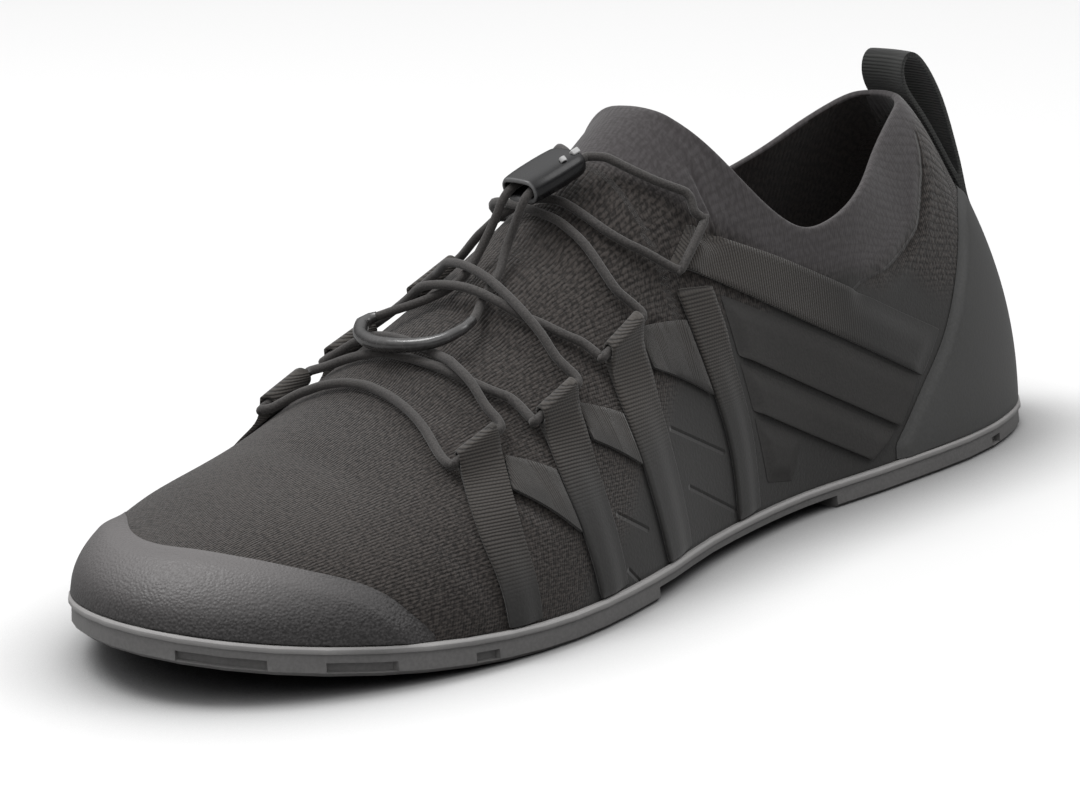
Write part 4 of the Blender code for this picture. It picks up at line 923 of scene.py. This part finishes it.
# The padded collar is a finer knit: its lower border, seen from the side
COLLAR_X = (-0.1300, -0.0985, -0.0930, -0.0813, -0.0620, -0.0400, -0.0200, 0.0000, 0.0080)
COLLAR_Z = (0.0860, 0.0790, 0.0640, 0.0542, 0.0505, 0.0560, 0.0680, 0.0860, 0.1100)
HEEL_TURN = -0.108
GIRTH = 0.045
HEEL_GIRTH = 0.03
ROW_LEAN = 0.35
ROW_LEVEL = 0.04
BORDER_WAVE = 1.5 * MM
BORDER_WAVES = 300
FILM_FADE = (-7 * MM, 3 * MM)
FILM_FROM = 0.012
COLLAR_FADE = (-2 * MM, 5 * MM)


def sock_map(piece):
    """Across runs round the foot from the outer to the inner sole edge, along from
    heel to toe."""
    co = points_of(piece)
    around = np.arctan2(co[:, 1], np.maximum(co[:, 2], MM)) * GIRTH
    behind = np.arctan2(co[:, 1], HEEL_TURN - co[:, 0]) * HEEL_GIRTH
    along = co[:, 0] + ROW_LEAN * (co[:, 2] - ROW_LEVEL) * (co[:, 0] > 0)
    heel = co[:, 0] < HEEL_TURN
    write_uv(piece, np.where(heel, co[:, 2], around), np.where(heel, behind, along))
    border = np.interp(co[:, 0], FILM_BORDER_X, FILM_BORDER_Z)
    border += BORDER_WAVE * np.sin(co[:, 0] * BORDER_WAVES)
    share = 1 - ramp(co[:, 2] - border, *FILM_FADE)
    write_share(piece, "film_share", share * (np.abs(co[:, 1]) > FILM_FROM))
    collar = np.interp(co[:, 0], COLLAR_X, COLLAR_Z)
    write_share(piece, "fine_share", ramp(co[:, 2] - collar, *COLLAR_FADE))


sock_map(sock)
finish_piece(sock, knit)
sock.data.materials.append(liner)
sock_tree = BVHTree.FromPolygons([v.co for v in sock.data.vertices],
                                 [p.vertices for p in sock.data.polygons])

# The wall's inner face takes the dark liner: its faces look at the shoe's inside.
FOOT_MIDDLE = 0.03
ABOVE_SOLE = 0.004
OFF_FACE = 0.3 * MM
LOOK_AHEAD = 0.2
lining = 0
for face in sock.data.polygons:
    outwards = Vector((0.0, face.center.y, face.center.z - FOOT_MIDDLE))
    hit = sock_tree.ray_cast(face.center + face.normal * OFF_FACE, face.normal, LOOK_AHEAD)
    if hit[0] is not None and outwards.dot(face.normal) < 0 and face.center.z > ABOVE_SOLE:
        face.material_index = 1
        lining += 1
print("lining faces", lining)

# %% [markdown]
# ## Toe cap and heel film
# The cap is a thin pebbled rubber film and the heel piece a smoother one, both
# bonded to the knit. The heel film stays bare where the photograph has a word.
# Both run down into the sole's rim, so their lower edges are drawn down a little
# to close the assembly gap of the frame.


# %% Helpers for films that hug the knit
PRESSED = 0.05 * MM


def pressed_down(place, share):
    """The way of a place down to the sock, all of it or a share."""
    under, up_from, _, _ = sock_tree.find_nearest(place)
    gap = (place - under).dot(up_from)
    return np.array(up_from) * max(0.0, gap - PRESSED) * share


def thin_edges(piece, reach, keep, which):
    """Thin a film towards some edges: which picks the edge faces, and keep is what
    stays of the thickness."""
    edges = []
    for face in piece.data.polygons:
        _, up_from, _, _ = sock_tree.find_nearest(face.center)
        if abs(face.normal.dot(up_from)) < 0.5 and which(face):
            edges.append(face.center.copy())
    finder = KDTree(len(edges))
    for k, place in enumerate(edges):
        finder.insert(place, k)
    finder.balance()
    co = points_of(piece)
    for k, v in enumerate(piece.data.vertices):
        _, _, away = finder.find(v.co)
        if away <= reach:
            thickness = keep + (1 - keep) * ramp(away, 0, reach)
            co[k] -= pressed_down(v.co, 1 - thickness)
    move_points(piece, co)
    return len(edges)


def not_low(face):
    """All edge faces but those that look down into the sole."""
    return face.normal.z > -0.3


# %% Helper for edges that run into the sole
def seat_low_edge(piece, depth, reach, bins=60):
    """Draw the points near a piece's lower edge down by a depth."""
    co = points_of(piece)
    middle = (co.max(0) + co.min(0)) / 2
    turn = np.arctan2(co[:, 1] - middle[1], co[:, 0] - middle[0])
    index = ((turn + math.pi) / (2 * math.pi) * bins).astype(int) % bins
    low = np.full(bins, np.inf)
    np.minimum.at(low, index, co[:, 2])
    beside = np.minimum(low[(index + 1) % bins], low[index - 1])
    above = co[:, 2] - np.minimum(low[index], beside + reach)
    co[:, 2] -= depth * (1 - ramp(above, 0, reach))
    move_points(piece, co)


# %% Cap, heel film and insole
SEAT_REACH = 3.0 * MM
SHOULDER_UP = (0.015, 0.029)
SHOULDER_FRONT = (0.078, 0.128)
SHOULDER_HIGHLIGHT = 0.9


def bonded_film(node, name, material, reach, keep, depth):
    """A film that thins out on the knit and runs down into the sole's rim."""
    piece = finish_piece(soft_copy(node, name, 3, 50, 0.8), material)
    print(name, "edge faces", thin_edges(piece, reach, keep, not_low))
    seat_low_edge(piece, depth, SEAT_REACH)
    return piece


cap = bonded_film("toe_cap", "toe_cap_film", cap_rubber,
                  reach=6 * MM, keep=0.06, depth=0.75 * MM)
# The cap's shoulder is painted lighter than its foot: a painted highlight where the top light
# falls.
co = points_of(cap)
shoulder = ramp(co[:, 2], *SHOULDER_UP) * ramp(co[:, 0], *SHOULDER_FRONT)
write_share(cap, "highlight_share", SHOULDER_HIGHLIGHT * shoulder)
bonded_film("heel_counter", "heel_film_piece", counter_film,
            reach=4 * MM, keep=0.15, depth=0.7 * MM)
insole = soft_copy("insole", "sock_liner", 2, 40, 0.5)
co = points_of(insole)
write_uv(insole, co[:, 1], co[:, 0])
finish_piece(insole, liner)
print("films and insole done")

# %% [markdown]
# ## Webbing loops and film panels
# Each loop is woven tape folded round the cord and bonded down the side. The
# ribs of the weave lie across the tape and sink under film near the sole. The
# front edge of each tape stands proud and throws a shadow line, while its rear
# edge is pressed flat into the film.

# %% Loops and uprights
REAR_KEEP = 0.06
REAR_SIDE = (-0.3, 0.95)
REAR_FADE = 0.25
RIBS_BELOW = 0.22
RIBS_ABOVE = 0.12
TAPE_SEAT = 0.5 * MM
SIDES = ("medial", "lateral")
# Each tape with the share of its run where the ribs sink under the film
TAPES = [(f"loop_{side}_{k}", end) for side in SIDES
         for k, end in ((1, 0.30), (2, 0.55), (3, 0.55))]
TAPES += [(f"upright_{side}", 0.60) for side in SIDES]


def flatten_rear(piece, share, across, start, stop):
    """Press the lower part of a tape onto the sock along its rear edge."""
    co = points_of(piece)
    flat = (1 - ramp(share, start, stop)) * ramp(-across, *REAR_SIDE) * (1 - REAR_KEEP)
    for k in np.nonzero(flat)[0]:
        co[k] -= pressed_down(Vector(co[k]), flat[k])
    move_points(piece, co)


for node, end in TAPES:
    tape = soft_copy(node, node + "_tape", 2, 50, 0.8)
    share, across = strap_map(tape, 2)
    write_share(tape, "film_share", 1 - ramp(share, end - RIBS_BELOW, end + RIBS_ABOVE))
    flatten_rear(tape, share, across, end, end + REAR_FADE)
    co = points_of(tape)
    co[:, 2] -= TAPE_SEAT * (1 - ramp(share, 0, 0.1))
    move_points(tape, co)
    finish_piece(tape, webbing)
print("loops and uprights", len(TAPES))

# %% Collar tapes
COLLAR_RIBS = (0.25, 0.62)
BEHIND_FILM = -0.060


def rear_or_top(face):
    """A collar tape's rear end and the rear part of its upper edge."""
    return face.normal.x < -0.5 or (face.normal.z > 0.3 and face.center.x < BEHIND_FILM)


for side in SIDES:
    tape = soft_copy(f"loop_{side}_4", f"collar_tape_{side}", 2, 50, 0.8)
    share, _ = strap_map(tape, 0)
    write_share(tape, "film_share", 1 - ramp(share, *COLLAR_RIBS))
    thin_edges(tape, 6 * MM, 0.0, rear_or_top)
    finish_piece(tape, webbing)
print("collar tapes done")

# %% Film panels
for side in SIDES:
    for k in (1, 2, 3):
        panel = soft_copy(f"fan_{side}_{k}", f"fan_film_{side}_{k}", 2, 50, 0.85)
        _, across = strap_map(panel, 0)
        write_share(panel, "film_share", 0.25 + 0.5 * ramp(-across, -0.2, 1.0))
        finish_piece(panel, webbing)
        panel = soft_copy(f"rear_panel_{side}_{k}", f"rear_film_{side}_{k}", 3, 50, 0.85)
        thin_edges(panel, 4 * MM, 0.05, lambda f, last=k == 3: last or f.normal.z > -0.5)
        finish_piece(panel, film)
print("panels done")

# %% [markdown]
# ## Pull loop and cord lock
# The pull loop is a smoother, darker tape. The lock is a glossy moulded barrel. At
# the rear of its inner side it has a spring pin, painted light as a glint, and
# behind that the light tip of its sprung tongue.

# %% Pull loop
LOOP_PULL = 1.4 * MM
LOOP_PULL_UP = (0.066, 0.086)
pull = soft_copy("pull_loop", "pull_tape", 2, 60, 0.7)
co = points_of(pull)
co[:, 2] += LOOP_PULL * ramp(co[:, 2], *LOOP_PULL_UP)
move_points(pull, co)
strap_map(pull, 2)
finish_piece(pull, dark_webbing)
print("pull loop done")

# %% Cord lock
LOCK_CENTRE = Vector((0.0137, 0.0, 0.0858))
LOCK_TILT = math.radians(16)
MOUTH_LIPS = (7.6 * MM, 8.6 * MM)
PIN_SIDES = 32
SMOOTH_BELOW = math.radians(40)
lock = soft_copy("cord_lock", "lock_body", 3, 30, 0.3)
finish_piece(lock, lock_plastic)


def on_lock(x, y, z):
    """A place on the lock: x towards its mouth, y inwards, z up from its middle."""
    return LOCK_CENTRE + Vector((x * math.cos(LOCK_TILT) + z * math.sin(LOCK_TILT), y,
                                 z * math.cos(LOCK_TILT) - x * math.sin(LOCK_TILT)))


def round_pin(name, centre, turn, radius, height, lip):
    """A short round pin with a rounded lip: a cylinder with a bevelled, inset cap."""
    bpy.ops.object.select_all(action="DESELECT")
    bpy.ops.mesh.primitive_cylinder_add(vertices=PIN_SIDES, radius=radius, depth=height,
                                        location=centre, rotation=turn)
    pin = bpy.context.object
    pin.name = name
    bpy.ops.object.transform_apply(location=True, rotation=True, scale=True)
    bpy.ops.object.mode_set(mode="EDIT")
    bpy.ops.mesh.select_mode(type="FACE")
    bpy.ops.mesh.select_all(action="DESELECT")
    bpy.ops.mesh.select_face_by_sides(number=PIN_SIDES)
    bpy.ops.mesh.inset(thickness=lip)
    bpy.ops.mesh.inset(thickness=lip * 0.6, depth=-lip * 0.8)
    bpy.ops.object.mode_set(mode="OBJECT")
    rounding = pin.modifiers.new("rounded lip", "BEVEL")
    rounding.width = lip * 0.4
    rounding.segments = 3
    rounding.limit_method = "ANGLE"
    bpy.ops.object.modifier_apply(modifier=rounding.name)
    bpy.ops.object.shade_smooth_by_angle(angle=SMOOTH_BELOW)
    return pin


# The lips round the mouth are painted lighter: a painted highlight on the glossy lip.
co = points_of(lock) - np.array(LOCK_CENTRE)
to_mouth = co[:, 0] * math.cos(LOCK_TILT) - co[:, 2] * math.sin(LOCK_TILT)
write_share(lock, "highlight_share", ramp(to_mouth, *MOUTH_LIPS))

SIDE_TURN = math.radians(45)
# The pin's light colour is a painted glint.
spring_pin = round_pin("spring_pin", on_lock(-0.0028, 0.0043, 0.0031), (SIDE_TURN, 0.0, 0.0),
                       radius=0.0008, height=0.0012, lip=0.0002)
finish_piece(spring_pin, light_part_and_glint_plastic)

# The rear end of the sprung tongue shows as a small light block behind the pin.
TIP_SIZE = 0.0020
TIP_SCALE = (1.1, 1.1, 0.7)
TIP_ROUND = 0.0003
bpy.ops.object.select_all(action="DESELECT")
bpy.ops.mesh.primitive_cube_add(size=TIP_SIZE, location=on_lock(-0.0072, 0.0034, 0.0026))
tongue_tip = bpy.context.object
tongue_tip.name = "spring_tongue_tip"
tongue_tip.scale = TIP_SCALE
tongue_tip.rotation_euler = (SIDE_TURN, LOCK_TILT, 0.0)
bpy.ops.object.transform_apply(location=True, rotation=True, scale=True)
bpy.ops.object.mode_set(mode="EDIT")
bpy.ops.mesh.select_all(action="SELECT")
bpy.ops.mesh.bevel(offset=TIP_ROUND, segments=3, affect="EDGES")
bpy.ops.object.mode_set(mode="OBJECT")
bpy.ops.object.shade_smooth_by_angle(angle=SMOOTH_BELOW)
finish_piece(tongue_tip, light_part_and_glint_plastic)
print("lock done")

# %% [markdown]
# ## Sole
# The sole's solid has its pockets, groove and tread already cut. A merged copy
# gets small rounded edges, which catch the light as moulded rubber does, and
# smooth shading along the outline.

# %% Sole
FLAT_WITHIN = math.radians(1.0)
EDGE_ROUND = 0.25 * MM
EDGE_FROM = math.radians(35)
SOLE_SMOOTH_BELOW = math.radians(32)
sole = open_copy("outsole", "moulded_sole")
bpy.ops.mesh.dissolve_limited(angle_limit=FLAT_WITHIN)
bpy.ops.object.mode_set(mode="OBJECT")
round_off = sole.modifiers.new("rounded edges", "BEVEL")
round_off.width = EDGE_ROUND
round_off.segments = 2
round_off.limit_method = "ANGLE"
round_off.angle_limit = EDGE_FROM
bpy.ops.object.modifier_apply(modifier=round_off.name)
bpy.ops.object.shade_smooth_by_angle(angle=SOLE_SMOOTH_BELOW)
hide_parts("outsole")

# The rim's lip and the walking side are marked for the shader: the lip gets a painted highlight.
LIP = 2.0 * MM
LIP_FULL = 0.3
OUTLINE_SQUEEZE = 0.35
FACES_DOWN = (0.7, 0.95)


def rim_share(piece, reach, bins=120):
    """1 on the sole's top edge, falling to 0 below it: the rim's lip, which gets a painted
    highlight.
    """
    co = points_of(piece)
    middle = (co.max(0) + co.min(0)) / 2
    turn = np.arctan2(co[:, 1] - middle[1], (co[:, 0] - middle[0]) * OUTLINE_SQUEEZE)
    index = ((turn + math.pi) / (2 * math.pi) * bins).astype(int) % bins
    top = np.full(bins, -np.inf)
    np.maximum.at(top, index, co[:, 2])
    top = np.maximum(top, np.maximum(np.roll(top, 1), np.roll(top, -1)))
    return ramp(co[:, 2], top[index] - reach, top[index] - LIP_FULL * reach)


write_share(sole, "highlight_share", rim_share(sole, LIP))
write_share(sole, "tread_share", ramp(-normals_of(sole)[:, 2], *FACES_DOWN))
finish_piece(sole, sole_rubber)
print("sole faces", len(sole.data.polygons))

# %% [markdown]
# ## Update the scene
# The view layer is brought up to date.

# %% Finish
bpy.context.view_layer.update()
